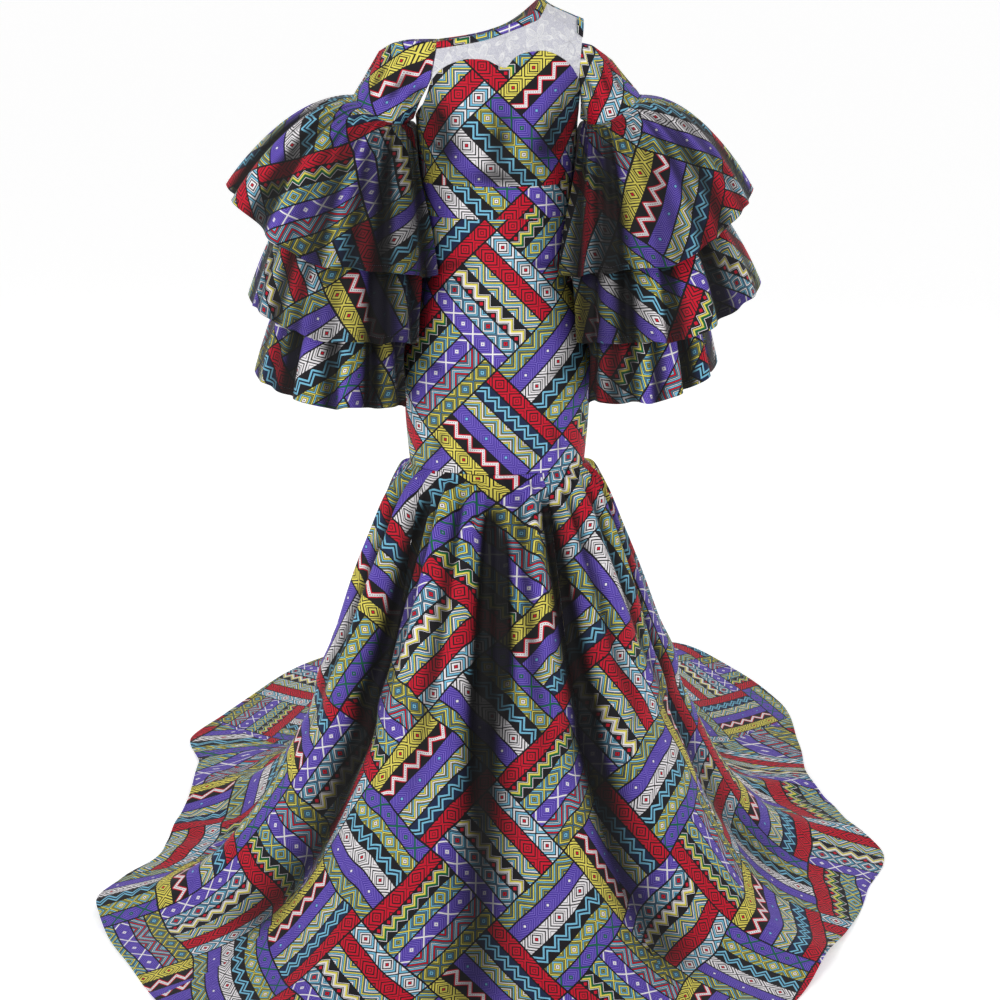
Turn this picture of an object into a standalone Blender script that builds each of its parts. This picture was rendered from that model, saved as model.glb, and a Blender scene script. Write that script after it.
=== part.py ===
"""A floor-length wax print dress with a train, in metres with +Z up.

The front faces -Y. Left and right are the dress's own, so +X is its left. The origin is where the
dress is held up, on the centre line between the shoulders. The cloth keeps the form of a table of
level sections, the block; the bodice, yoke and bands lie on it with a little ease, the sleeves are
rings round each sleeve's centre line, and the skirt is a trumpet that runs out into a train.
"""

import math

import bmesh
import bpy
from mathutils import Vector

# Cloth and clearances
CLOTH = 0.0015
SEAM = 0.0005
STRIP_AIR = 0.0010
EASE = 0.0045

# Seam heights and the height at which the shoulders hold the dress, above the floor
SHOULDER_HEIGHT = 1.4400
FLARE_SEAM = 0.7145
BAND_BOTTOM = 1.126
BAND_TOP = 1.178
UNDERARM = 1.276

# Mesh density
BODY_COLUMNS = 20
YOKE_COLUMNS = 16
STRAP_COLUMNS = 4
NECKLINE_COLUMNS = 12
GORE_COLUMNS = 16
TIER_COLUMNS = 44
TIER_BANDS = 3
SLEEVE_COLUMNS = 22
# Rows of the upper pieces, as shares of the way down from the top edge
FRONT_ROWS = (0.0, 0.15, 0.3, 0.5, 0.7, 0.85, 1.0)
BACK_ROWS = (0.0, 0.1, 0.22, 0.4, 0.6, 0.8, 1.0)
YOKE_ROWS = (0.0, 0.12, 0.3, 0.55, 0.8, 1.0)

# The block that the cloth keeps, in level sections. Depths are from the upright axis.
BLOCK_COLUMNS = ("height", "half_width", "front", "back")
BLOCK = {
    "thigh": (0.715, 0.1405, 0.0915, 0.0960),
    "seat": (0.800, 0.1470, 0.0950, 0.1080),
    "hip": (0.880, 0.1490, 0.0930, 0.1130),
    "high_hip": (0.965, 0.1320, 0.0850, 0.0970),
    "waist": (1.050, 0.1120, 0.0780, 0.0780),
    "rib": (1.126, 0.1140, 0.0870, 0.0800),
    "underbust": (1.178, 0.1175, 0.1000, 0.0840),
    "bust": (1.235, 0.1220, 0.1150, 0.0880),
    "underarm": (1.276, 0.1240, 0.1100, 0.0900),
    "chest": (1.310, 0.1330, 0.0970, 0.0920),
    "armhole": (1.340, 0.1520, 0.0840, 0.0890),
    "under_tip": (1.368, 0.1715, 0.0720, 0.0810),
    "shoulder_tip": (1.388, 0.1760, 0.0650, 0.0740),
    "shoulder": (1.408, 0.1580, 0.0600, 0.0680),
    "shoulder_slope": (1.428, 0.1150, 0.0560, 0.0620),
    "neck_base": (1.446, 0.0760, 0.0530, 0.0560),
    "neck": (1.462, 0.0590, 0.0510, 0.0520),
}
SIDE_SEAM = 89.70
SIDE_STEP = 2.5
CUP = {"height": 1.238, "angle": 35.0, "depth": 0.016, "spread_up": 0.050, "spread_round": 24.0}
SHOULDER_LIFT = (1.300, 1.400)
# Heights between which the ruffles come to allow for the full depth of the cups
CUP_CLEARANCE = (1.100, 1.200)

BODY_HEIGHTS = (1.088, 1.050, 1.010, 0.965, 0.920, 0.880, 0.840, 0.790)

# Edges on the upper body, as places across the front or back and their heights
SWEETHEART = (
    (-0.1015, 1.336),
    (-0.0900, 1.350),
    (-0.0640, 1.364),
    (-0.0400, 1.369),
    (-0.0140, 1.367),
    (0.0110, 1.3555),
    (0.0250, 1.369),
    (0.0480, 1.379),
    (0.0720, 1.381),
    (0.0950, 1.373),
    (0.1160, 1.357),
    (0.1270, 1.338),
)
YOKE_TOP = (
    (-0.0925, 1.3835),
    (-0.0530, 1.3900),
    (-0.0220, 1.3955),
    (0.0170, 1.4080),
    (0.0480, 1.4200),
    (0.0680, 1.4300),
)
ARMHOLE_RIGHT = ((-0.1085, 1.316), (-0.1180, 1.294), (-0.1270, 1.279), (-0.1280, UNDERARM))
ARMHOLE_LEFT = ((0.1300, 1.318), (0.1290, 1.296), (0.1280, 1.279), (0.1280, UNDERARM))
BINDING_WIDTH = 0.0110
NECK_POINT = 0.0790
SHOULDER_POINT = 0.1340
STRAP_HALF = 0.0100
STRAP_SEAM = 0.0014
BACK_CORNER = (-0.0925, 1.3835)
# Points of the back's edge beside each end of its neckline, and how straight the neckline rises
BACK_RISE = [(-0.1015, 1.336)]
BACK_DROP = [(0.1285, 1.380), (0.1270, 1.338)]
NECKLINE_STRAIGHT = 0.3

# The skirt from the flare seam to the hem. Past the knee each row is a share of the way from the
# knee section out to the hem line on the floor.
SKIRT_COLUMNS = ("height", "half_width", "front", "back", "reach", "groove", "ridge")
SKIRT = {
    "seam": (FLARE_SEAM, 0.1455, 0.0965, 0.1010, 0.00, 0.000, 0.000),
    "gathers": (0.698, 0.1680, 0.1180, 0.1230, 0.00, 0.004, 0.000),
    "puff": (0.665, 0.1870, 0.1420, 0.1500, 0.00, 0.010, 0.000),
    "thigh": (0.600, 0.2120, 0.1700, 0.1850, 0.00, 0.018, 0.000),
    "above_knee": (0.520, 0.2420, 0.2000, 0.2250, 0.00, 0.026, 0.000),
    "knee": (0.430, 0.2730, 0.2320, 0.2700, 0.00, 0.034, 0.000),
    "below_knee": (0.335, 0.3080, 0.2680, 0.3250, 0.00, 0.042, 0.000),
    "calf": (0.245, 0.3080, 0.2680, 0.3250, 0.10, 0.047, 0.004),
    "shin": (0.158, 0.3080, 0.2680, 0.3250, 0.22, 0.046, 0.012),
    "ankle": (0.084, 0.3080, 0.2680, 0.3250, 0.36, 0.036, 0.022),
    "floor_curve": (0.034, 0.3080, 0.2680, 0.3250, 0.50, 0.018, 0.028),
    "floor": (0.009, 0.3080, 0.2680, 0.3250, 0.65, 0.004, 0.026),
    "train": (0.0020, 0.3080, 0.2680, 0.3250, 0.82, 0.000, 0.020),
    "hem": (0.0015, 0.3080, 0.2680, 0.3250, 1.00, 0.000, 0.016),
}
SKIRT_BANDS = 16

# Grooves that hang down the skirt: angle from the front at the waist and at the floor, in degrees
GROOVE_COLUMNS = ("waist_angle", "floor_angle", "depth", "spread")
GROOVES = {
    "centre": (-1.0, -5.0, 1.00, 8.0),
    "left_front": (25.0, 35.0, 1.00, 8.0),
    "left_side": (76.0, 80.0, 0.70, 10.0),
    "left_back": (135.0, 132.0, 0.85, 10.0),
    "centre_back": (180.0, 178.0, 1.00, 10.0),
    "right_back": (-135.0, -138.0, 0.85, 10.0),
    "right_side": (-90.0, -94.0, 0.80, 10.0),
    "right_front": (-40.0, -56.0, 1.00, 8.0),
}
# Ridges that lie out across the train, between the grooves
RIDGE_COLUMNS = ("angle", "rise", "spread")
RIDGES = {
    "front_left": (54.0, 0.90, 6.5),
    "left": (97.0, 1.00, 7.0),
    "left_tip": (114.0, 0.80, 6.5),
    "back_left": (156.0, 1.00, 6.5),
    "back_right": (-158.0, 0.90, 6.5),
    "right_tip": (-115.0, 1.00, 6.5),
    "right": (-72.0, 0.90, 7.0),
    "front_right": (-27.0, 0.80, 6.5),
}
# The hem line on the floor: angle from the front towards the dress's left, and reach
HEM = (
    (-180.0, 1.120),
    (-163.0, 1.040),
    (-150.0, 0.954),
    (-137.0, 0.840),
    (-129.0, 0.800),
    (-122.0, 0.690),
    (-107.0, 0.607),
    (-90.0, 0.590),
    (-80.0, 0.650),
    (-71.0, 0.700),
    (-57.0, 0.700),
    (-40.0, 0.735),
    (-20.0, 0.775),
    (0.0, 0.790),
    (20.0, 0.760),
    (42.0, 0.676),
    (60.0, 0.640),
    (76.0, 0.645),
    (88.0, 0.680),
    (98.0, 0.640),
    (113.0, 0.652),
    (128.0, 0.770),
    (139.0, 0.915),
    (160.0, 1.090),
)
GORES = {
    "skirt_front": (-46.0, 29.0),
    "skirt_left": (29.0, 135.0),
    "skirt_back": (135.0, 225.0),
    "skirt_right": (225.0, 314.0),
}
# The share of a full groove by which the trumpet stands out between the grooves
GROOVE_LEVEL = 0.25

# The sleeves' top edges: how far round the sleeve from its outer side, by the front or by the back,
# and the place and height there. They run off the shoulder and down the armhole seam.
TOP_EDGE_COLUMNS = ("turn", "across", "height")
TOP_EDGE_DEPTH = 0.030
TOP_EDGE = {
    "right": (
        (0.0, 0.1850, 1.3780),
        (45.0, 0.1620, 1.3900),
        (85.0, 0.1290, 1.3945),
        (115.0, 0.0931, 1.3940),
        (140.0, 0.1045, 1.3360),
        (160.0, 0.1225, 1.2990),
        (180.0, 0.1318, 1.2740),
    ),
    "left": (
        (0.0, 0.1820, 1.3640),
        (45.0, 0.1650, 1.3760),
        (85.0, 0.1490, 1.3860),
        (115.0, 0.1325, 1.3890),
        (140.0, 0.1283, 1.3360),
        (160.0, 0.1330, 1.3020),
        (180.0, 0.1318, 1.2740),
    ),
}
# Sleeve rings: level centre and how the ring runs round it. Round starts at the sleeve's outer
# side and goes by the front. "swing" and "saddle" are cosines of once and twice it.
RING_COLUMNS = (
    "x_mid", "x_swing", "x_saddle", "y_front", "y_back", "z_mid", "z_swing", "z_saddle",
)
SLEEVE_RINGS = {
    "tier_1": (0.1800, 0.0430, 0.0030, 0.0760, 0.0780, 1.2840, 0.0210, 0.0060),
    "upper_arm": (0.1960, 0.0550, 0.0000, 0.0640, 0.0650, 1.2400, 0.0180, 0.0000),
    "tier_2": (0.2040, 0.0540, 0.0000, 0.0590, 0.0590, 1.1800, 0.0140, 0.0000),
    "tier_3": (0.2120, 0.0520, 0.0000, 0.0560, 0.0560, 1.0800, 0.0120, 0.0000),
}
HEM_FALL = 0.008

# Ruffle tiers: the hem ring, its wave and how near the body the cloth may come
TIER_COLUMNS_OF = (
    "ring", "x_mid", "half_width", "half_depth", "outer", "front", "inner", "wave", "body_gap",
)
TIERS = {
    "left": (
        ("tier_1", 0.2520, 0.1560, 0.1650, 1.160, 1.062, 1.030, 0.0130, 0.0080),
        ("tier_2", 0.2660, 0.1600, 0.1530, 1.012, 0.944, 0.925, 0.0120, 0.0180),
        ("tier_3", 0.2370, 0.1230, 0.1330, 0.882, 0.842, 0.830, 0.0110, 0.0280),
    ),
    "right": (
        ("tier_1", 0.2580, 0.1720, 0.1650, 1.171, 1.062, 1.030, 0.0130, 0.0080),
        ("tier_2", 0.2520, 0.1500, 0.1530, 0.990, 0.944, 0.925, 0.0120, 0.0180),
        ("tier_3", 0.2540, 0.1420, 0.1330, 0.866, 0.834, 0.822, 0.0110, 0.0280),
    ),
}
TIER_WAVES = 11
# How soon a tier's hem leaves its front height for the outer or inner one
HEM_SHARPNESS = 1.5

PRINT = ("wax_print", (0.16, 0.13, 0.30, 1.0), 0.75)
LACE = ("white_lace", (0.80, 0.80, 0.84, 1.0), 0.85)


def smooth(places, values, at):
    """A cubic through the values that doesn't overshoot them."""
    if at <= places[0]:
        return values[0]
    if at >= places[-1]:
        return values[-1]
    last = len(places) - 1
    k = max(i for i in range(last) if places[i] <= at)
    slopes = [(values[i + 1] - values[i]) / (places[i + 1] - places[i]) for i in range(last)]

    def tangent(i):
        if i in (0, last):
            return slopes[min(i, last - 1)]
        before, after = slopes[i - 1], slopes[i]
        return 0.0 if before * after <= 0 else 2 * before * after / (before + after)

    width = places[k + 1] - places[k]
    t = (at - places[k]) / width
    start, end = values[k], values[k + 1]
    pull_in, pull_out = tangent(k) * width, tangent(k + 1) * width
    return (
        start * (2 * t**3 - 3 * t**2 + 1)
        + pull_in * (t**3 - 2 * t**2 + t)
        + end * (3 * t**2 - 2 * t**3)
        + pull_out * (t**3 - t**2)
    )


def row_between(columns, rows, at, places):
    """The named columns of a table, interpolated between its rows."""
    return {
        name: smooth(places, [row[i] for row in rows], at) for i, name in enumerate(columns)
    }


def ramp(low, high, at):
    """0 below low, 1 above high, and an even S between."""
    t = min(1.0, max(0.0, (at - low) / (high - low)))
    return t * t * (3 - 2 * t)


def bell(angle, centre, spread):
    """A soft bump round an angle, in degrees, that wraps at the back."""
    off = (angle - centre + 180.0) % 360.0 - 180.0
    return math.exp(-((off / spread) ** 2))


def spaced(first, last, count):
    """Count steps from first to last, both ends included."""
    return [first + (last - first) * i / count for i in range(count + 1)]


def section(z, ease):
    """The block's half width and depths at a height, let out by the ease."""
    rows = list(BLOCK.values())
    lift = ease * ramp(*SHOULDER_LIFT, z)
    found = row_between(BLOCK_COLUMNS, rows, z - lift, [row[0] for row in rows])
    return found["half_width"] + ease, found["front"] + ease, found["back"] + ease


def on_block(z, angle, ease=EASE):
    """A point of the block's surface, by its height and its angle from the front."""
    half_width, front, back = section(z, ease)
    turn = math.radians(angle)
    across, ahead = math.sin(turn), math.cos(turn)
    if ahead <= 0:
        return half_width * across, -back * ahead, z
    cup = math.exp(-(((z - CUP["height"]) / CUP["spread_up"]) ** 2))
    lobes = bell(angle, CUP["angle"], CUP["spread_round"])
    lobes += bell(angle, -CUP["angle"], CUP["spread_round"])
    return half_width * across, -(front + CUP["depth"] * cup * lobes) * ahead, z


def across_block(x, z, back=False, ease=EASE):
    """A point of the block's front or back, by its place across and its height."""
    half_width = section(z, ease)[0]
    angle = math.degrees(math.asin(max(-1.0, min(1.0, x / half_width))))
    return on_block(z, 180.0 - angle if back else angle, ease)


def shoulder_height(x, y, ease):
    """How high the block's shoulder is at a place in plan."""
    low, high = BLOCK["shoulder_tip"][0], BLOCK["neck"][0]
    for _ in range(40):
        z = (low + high) / 2
        half_width, front, back = section(z, ease)
        inside = (x / half_width) ** 2 + (y / (front if y < 0 else back)) ** 2 < 1
        low, high = (z, high) if inside else (low, z)
    return low


def material(name, colour, roughness, metallic=0.0):
    found = bpy.data.materials.get(name)
    if found:
        return found
    made = bpy.data.materials.new(name)
    made.use_nodes = True
    shader = made.node_tree.nodes["Principled BSDF"]
    shader.inputs["Base Color"].default_value = colour
    shader.inputs["Roughness"].default_value = roughness
    shader.inputs["Metallic"].default_value = metallic
    return made


def add_object(name, mesh, finish, parts):
    made = bpy.data.objects.new(name, mesh)
    parts.objects.link(made)
    mesh.materials.append(material(*finish))
    mesh.shade_smooth()
    return made


def loft(name, rows, closed):
    """An open surface through rows of points, top row first, each row going by the front to +X."""
    shape = bmesh.new()
    grid = [[shape.verts.new(point) for point in row] for row in rows]
    for upper, lower in zip(grid, grid[1:]):
        count = len(upper)
        for i in range(count if closed else count - 1):
            j = (i + 1) % count
            shape.faces.new((upper[i], lower[i], lower[j], upper[j]))
    mesh = bpy.data.meshes.new(name)
    shape.to_mesh(mesh)
    shape.free()
    return mesh


def cloth(name, rows, parts, finish=PRINT, closed=False):
    """A wall of cloth whose outer side is the surface through the rows."""
    piece = add_object(name, loft(name, rows, closed), finish, parts)
    wall = piece.modifiers.new("cloth wall", "SOLIDIFY")
    wall.thickness = CLOTH
    wall.offset = -1.0
    return piece


def body_panels(parts):
    """The fitted body from the flare seam to the band, and the band, each cut front and back."""
    sides = {"front": (-SIDE_SEAM, SIDE_SEAM), "back": (180.0 - SIDE_SEAM, 180.0 + SIDE_SEAM)}
    body_heights = (BAND_BOTTOM - SEAM,) + BODY_HEIGHTS + (FLARE_SEAM + SEAM,)
    band_heights = (BAND_TOP - SEAM, (BAND_TOP + BAND_BOTTOM) / 2, BAND_BOTTOM)
    for side, (first, last) in sides.items():
        angles = spaced(first, last, BODY_COLUMNS)
        body = [[on_block(z, a) for a in angles] for z in body_heights]
        cloth(f"body_{side}", body, parts)
        band = [[on_block(z, a) for a in angles] for z in band_heights]
        cloth(f"band_{side}", band, parts)


def upright_rows(feet, tops, shares, back=False, side_seams=False):
    """Rows from the top edge down, each column running straight on the body from top to foot."""
    columns = list(zip(feet, tops))
    rows = []
    for share in shares:
        row = []
        for i, ((foot_x, foot_z), (top_x, top_z)) in enumerate(columns):
            x = top_x + (foot_x - top_x) * share
            z = top_z + (foot_z - top_z) * share
            from_side = min(i, len(columns) - 1 - i)
            if side_seams and from_side < 2:
                angle = math.copysign(SIDE_SEAM - from_side * SIDE_STEP, x)
                row.append(on_block(z, 180.0 - angle if back else angle))
            else:
                row.append(across_block(x, z, back))
        rows.append(row[::-1] if back else row)
    return rows


def along(edge, count):
    """Points at even places across an edge that is given by a few of its points."""
    places, heights = zip(*edge)
    return [(x, smooth(places, heights, x)) for x in spaced(places[0], places[-1], count)]


def bodice_front(parts):
    """The sweetheart panel between the band and the yoke."""
    middle = along(SWEETHEART, YOKE_COLUMNS)
    tops = list(ARMHOLE_RIGHT[::-1]) + middle + list(ARMHOLE_LEFT)
    half_width = section(BAND_TOP, EASE)[0] - SEAM
    angles = spaced(-90.0, 90.0, len(tops) - 1)
    feet = [(half_width * math.sin(math.radians(a)), BAND_TOP) for a in angles]
    cloth("bodice_front", upright_rows(feet, tops, FRONT_ROWS, side_seams=True), parts)


def shoulder_line(first, last, count, y):
    """Points across the shoulder at a place from front to back."""
    return [(x, shoulder_height(x, y, EASE)) for x in spaced(first, last, count)]


def lace_yoke(parts):
    """The lace between the sweetheart edge, the neck binding and the strap."""
    feet = [(x, z + SEAM) for x, z in along(SWEETHEART, YOKE_COLUMNS)]
    strap = shoulder_line(NECK_POINT, SHOULDER_POINT, STRAP_COLUMNS, -STRAP_HALF - STRAP_SEAM)
    tops = along(YOKE_TOP + (strap[0],), YOKE_COLUMNS - STRAP_COLUMNS) + strap[1:]
    rows = upright_rows(feet, tops, YOKE_ROWS)
    cloth("lace_yoke", rows, parts, LACE)
    armhole_strip(rows, parts)


def armhole_strip(yoke_rows, parts):
    """The strip on the yoke's outer edge, from the strap down to the sleeve."""
    edge = [(Vector(row[-2]), Vector(row[-1])) for row in yoke_rows[:3]]
    rows = []
    for k, (inside, outside) in enumerate(edge):
        down = edge[min(k + 1, 2)][1] - edge[max(k - 1, 0)][1]
        out = down.cross(outside - inside).normalized() * (CLOTH + STRIP_AIR)
        width = (outside - inside).normalized() * BINDING_WIDTH
        rows.append([outside - width + out, outside + out])
    cloth("armhole_binding", rows, parts)


def back_neckline():
    """The back's neckline, from the right armhole rising to the strap."""
    start_x, start_z = BACK_CORNER
    end_x, end_z = shoulder_line(NECK_POINT, NECK_POINT, 1, STRAP_HALF + STRAP_SEAM)[0]
    line = []
    for t in spaced(0.0, 1.0, NECKLINE_COLUMNS):
        rise = NECKLINE_STRAIGHT * t + (1.0 - NECKLINE_STRAIGHT) * t**3
        line.append((start_x + (end_x - start_x) * t, start_z + (end_z - start_z) * rise))
    return line


def bodice_back(parts):
    """One plain back panel from the band to the neckline and strap."""
    strap = shoulder_line(NECK_POINT, SHOULDER_POINT, STRAP_COLUMNS, STRAP_HALF + STRAP_SEAM)
    tops = list(ARMHOLE_RIGHT[::-1]) + BACK_RISE + back_neckline()
    tops += strap[1:] + BACK_DROP + list(ARMHOLE_LEFT)
    half_width = section(BAND_TOP, EASE)[0] - SEAM
    angles = spaced(-90.0, 90.0, len(tops) - 1)
    feet = [(half_width * math.sin(math.radians(a)), BAND_TOP) for a in angles]
    rows = upright_rows(feet, tops, BACK_ROWS, back=True, side_seams=True)
    cloth("bodice_back", rows, parts)


def beside(edge, y, offset, back):
    """A line beside a neckline: above it at its low end, and inward of it at the strap."""
    (_, corner_z), (_, end_z) = shoulder_line(NECK_POINT, NECK_POINT - offset, 1, y)
    line = []
    for i, (x, z) in enumerate(edge):
        lean = ramp(0.55, 1.0, i / (len(edge) - 1))
        rise = offset + (end_z - corner_z - offset) * lean
        line.append(across_block(x - offset * lean, z + rise, back))
    return line


def neck_strip(name, edge, y, back, parts):
    """A strip of binding on a neckline, ending against the strap."""
    rows = [beside(edge, y, BINDING_WIDTH, back), beside(edge, y, SEAM, back)]
    cloth(name, [row[::-1] for row in rows] if back else rows, parts)


def bindings(parts):
    """The strips round the neckline and the strap over the shoulder."""
    front_y, back_y = -STRAP_HALF - STRAP_SEAM, STRAP_HALF + STRAP_SEAM
    strap_start = shoulder_line(NECK_POINT, NECK_POINT, 1, front_y)[0]
    edge = along(YOKE_TOP + (strap_start,), YOKE_COLUMNS - STRAP_COLUMNS)
    neck_strip("neck_binding_front", edge, front_y, False, parts)
    neck_strip("neck_binding_back", back_neckline(), back_y, True, parts)
    rows = [
        [(x, y, z) for x, z in shoulder_line(NECK_POINT - BINDING_WIDTH, SHOULDER_POINT, 6, y)]
        for y in spaced(STRAP_HALF, -STRAP_HALF, 4)
    ]
    cloth("shoulder_strap", rows, parts)


def ring_point(ring, turn, side):
    """A point of a sleeve ring: turn is 0 on the outer side and a quarter at the front."""
    r = dict(zip(RING_COLUMNS, ring))
    once, twice = math.cos(turn), math.cos(2 * turn)
    depth = r["y_front"] if math.sin(turn) > 0 else r["y_back"]
    x = r["x_mid"] + r["x_swing"] * once + r["x_saddle"] * twice
    z = r["z_mid"] + r["z_swing"] * once + r["z_saddle"] * twice
    return side * x, -depth * math.sin(turn), z


def turns(side, count):
    """Turns round a sleeve, in the order in which its rows run to the loft's right."""
    steps = [2 * math.pi * i / count for i in range(count)]
    return steps if side < 0 else [-t for t in steps]


def top_edge_point(word, turn, side):
    """A point of a sleeve's top edge, on the body's surface: turn as in ring_point."""
    degrees = abs((math.degrees(turn) + 180.0) % 360.0 - 180.0)
    rows = TOP_EDGE[word]
    edge = row_between(TOP_EDGE_COLUMNS, rows, degrees, [row[0] for row in rows])
    backward = math.sin(turn) < 0
    _, y, _ = across_block(edge["across"], edge["height"], back=backward)
    depth = max(abs(y), TOP_EDGE_DEPTH * abs(math.sin(turn)))
    return side * edge["across"], depth if backward else -depth, edge["height"]


def sleeve_base(word, side, parts):
    """The fitted sleeve under the ruffles, from the off-shoulder edge to the last tier's seam."""
    round_it = turns(side, SLEEVE_COLUMNS)
    top = [top_edge_point(word, t, side) for t in round_it]
    rings = [[ring_point(ring, t, side) for t in round_it] for ring in SLEEVE_RINGS.values()]
    middle = [
        tuple((a + b) / 2 for a, b in zip(high, low)) for high, low in zip(top, rings[0])
    ]
    cloth(f"sleeve_{word}", [top, middle] + rings, parts, closed=True)


def clear_of_body(x, y, z, gap):
    """The point, moved out in plan to stay this far from the dress body."""
    half_width, front, back = section(min(z, UNDERARM), EASE)
    depth = front + CUP["depth"] * ramp(*CUP_CLEARANCE, z) if y < 0 else back
    share = math.hypot(x / (half_width + gap), y / (depth + gap))
    return (x, y, z) if share >= 1 else (x / share, y / share, z)


def tier_point(tier, turn, share, side):
    """A point of a ruffle: share is 0 at its seam and 1 at its hem."""
    t = dict(zip(TIER_COLUMNS_OF, tier))
    seam_x, seam_y, seam_z = ring_point(SLEEVE_RINGS[t["ring"]], turn, side)
    centre = side * SLEEVE_RINGS[t["ring"]][0]
    stand_off = CLOTH + SEAM
    size = math.hypot(seam_x - centre, seam_y)
    seam_x += (seam_x - centre) / size * stand_off
    seam_y += seam_y / size * stand_off
    hem_x = side * (t["x_mid"] + t["half_width"] * math.cos(turn))
    hem_y = -t["half_depth"] * math.sin(turn)
    level = t["front"] + (t["outer"] - t["front"]) * max(0.0, math.cos(turn)) ** HEM_SHARPNESS
    level += (t["inner"] - t["front"]) * max(0.0, -math.cos(turn)) ** HEM_SHARPNESS
    out, down = math.sin(share * math.pi / 2), share * share * (3 - 2 * share)
    x = seam_x + (hem_x - seam_x) * out
    y = seam_y + (hem_y - seam_y) * out
    z = seam_z + (level - seam_z) * down
    wave = t["wave"] * share * math.cos(TIER_WAVES * turn)
    length = math.hypot(x - centre, y)
    x += (x - centre) / length * wave
    y += y / length * wave
    z += HEM_FALL * share * math.cos(TIER_WAVES * turn) * 0.5
    return clear_of_body(x, y, z, t["body_gap"])


def ruffles(word, side, parts):
    for tier in TIERS[word]:
        shares = spaced(0.0, 1.0, TIER_BANDS)
        rows = [
            [tier_point(tier, t, share, side) for t in turns(side, TIER_COLUMNS)]
            for share in shares
        ]
        cloth(f"ruffle_{word}_{tier[0]}", rows, parts, closed=True)


def hem_reach(angle):
    """How far out the hem lies on the floor at an angle from the front."""
    angle = (angle + 180.0) % 360.0 - 180.0
    ends = [(a - 360.0, r) for a, r in HEM[-2:]] + list(HEM)
    ends += [(a + 360.0, r) for a, r in HEM[:2]]
    return smooth([a for a, _ in ends], [r for _, r in ends], angle)


def skirt_base(angle, at):
    """The skirt's plain trumpet, without folds. at runs from 0 at the seam to 1 at the hem."""
    rows = list(SKIRT.values())
    row = row_between(SKIRT_COLUMNS, rows, at, spaced(0.0, 1.0, len(rows) - 1))
    turn = math.radians(angle)
    depth = row["front"] if math.cos(turn) > 0 else row["back"]
    x, y = row["half_width"] * math.sin(turn), -depth * math.cos(turn)
    reach = hem_reach(angle)
    x += (reach * math.sin(turn) - x) * row["reach"]
    y += (-reach * math.cos(turn) - y) * row["reach"]
    return (x, y, row["height"]), row


def skirt_point(angle, at):
    """A point of the skirt's outer side: the trumpet, moved in at grooves and up at ridges."""
    (x, y, z), row = skirt_base(angle, at)
    step = 0.01
    up, down = skirt_base(angle, max(0.0, at - step))[0], skirt_base(angle, min(1.0, at + step))[0]
    fall, run = up[2] - down[2], math.hypot(down[0] - up[0], down[1] - up[1])
    tilt = math.atan2(run, max(fall, 1e-6))
    groove = 0.0
    for fold in GROOVES.values():
        g = dict(zip(GROOVE_COLUMNS, fold))
        centre = g["waist_angle"] + (g["floor_angle"] - g["waist_angle"]) * at
        groove += g["depth"] * bell(angle, centre, g["spread"])
    ridge = 0.0
    for fold in RIDGES.values():
        r = dict(zip(RIDGE_COLUMNS, fold))
        ridge += r["rise"] * bell(angle, r["angle"], r["spread"])
    inward = row["groove"] * (groove - GROOVE_LEVEL)
    size = math.hypot(x, y)
    x -= x / size * inward * math.cos(tilt)
    y -= y / size * inward * math.cos(tilt)
    z -= inward * math.sin(tilt)
    z += row["ridge"] * ridge
    return x, y, max(z, CLOTH)


def skirt(parts):
    """Four gores, each seamed in the bottom of a groove."""
    for name, (first, last) in GORES.items():
        rows = []
        for at in spaced(0.0, 1.0, SKIRT_BANDS):
            (x, y, _), _row = skirt_base(first, at)
            hidden = math.degrees(SEAM / math.hypot(x, y))
            angles = spaced(first + hidden, last - hidden, GORE_COLUMNS)
            rows.append([skirt_point(angle, at) for angle in angles])
        cloth(name, rows, parts)


def main():
    for old in list(bpy.data.objects):
        bpy.data.objects.remove(old)
    parts = bpy.data.collections.new("wax_print_dress")
    bpy.context.scene.collection.children.link(parts)
    body_panels(parts)
    bodice_front(parts)
    lace_yoke(parts)
    bodice_back(parts)
    bindings(parts)
    skirt(parts)
    for word, side in (("left", 1), ("right", -1)):
        sleeve_base(word, side, parts)
        ruffles(word, side, parts)
    pieces = list(parts.objects)
    held = bpy.data.objects.new("held_at_shoulders", None)
    parts.objects.link(held)
    held.location.z = -SHOULDER_HEIGHT
    for piece in pieces:
        piece.parent = held


main()
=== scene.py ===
"""The look of a floor-length wax print dress with a lace yoke, tiered sleeves and a train.

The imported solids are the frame. Each is replaced by a thin shell on the same form, with finer
folds, a printed material that follows the cut of the cloth, and sewing. Heights in the tables are
above the floor, in metres; the finished meshes hang from the shoulders, at the frame's origin.
"""

import math

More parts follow.
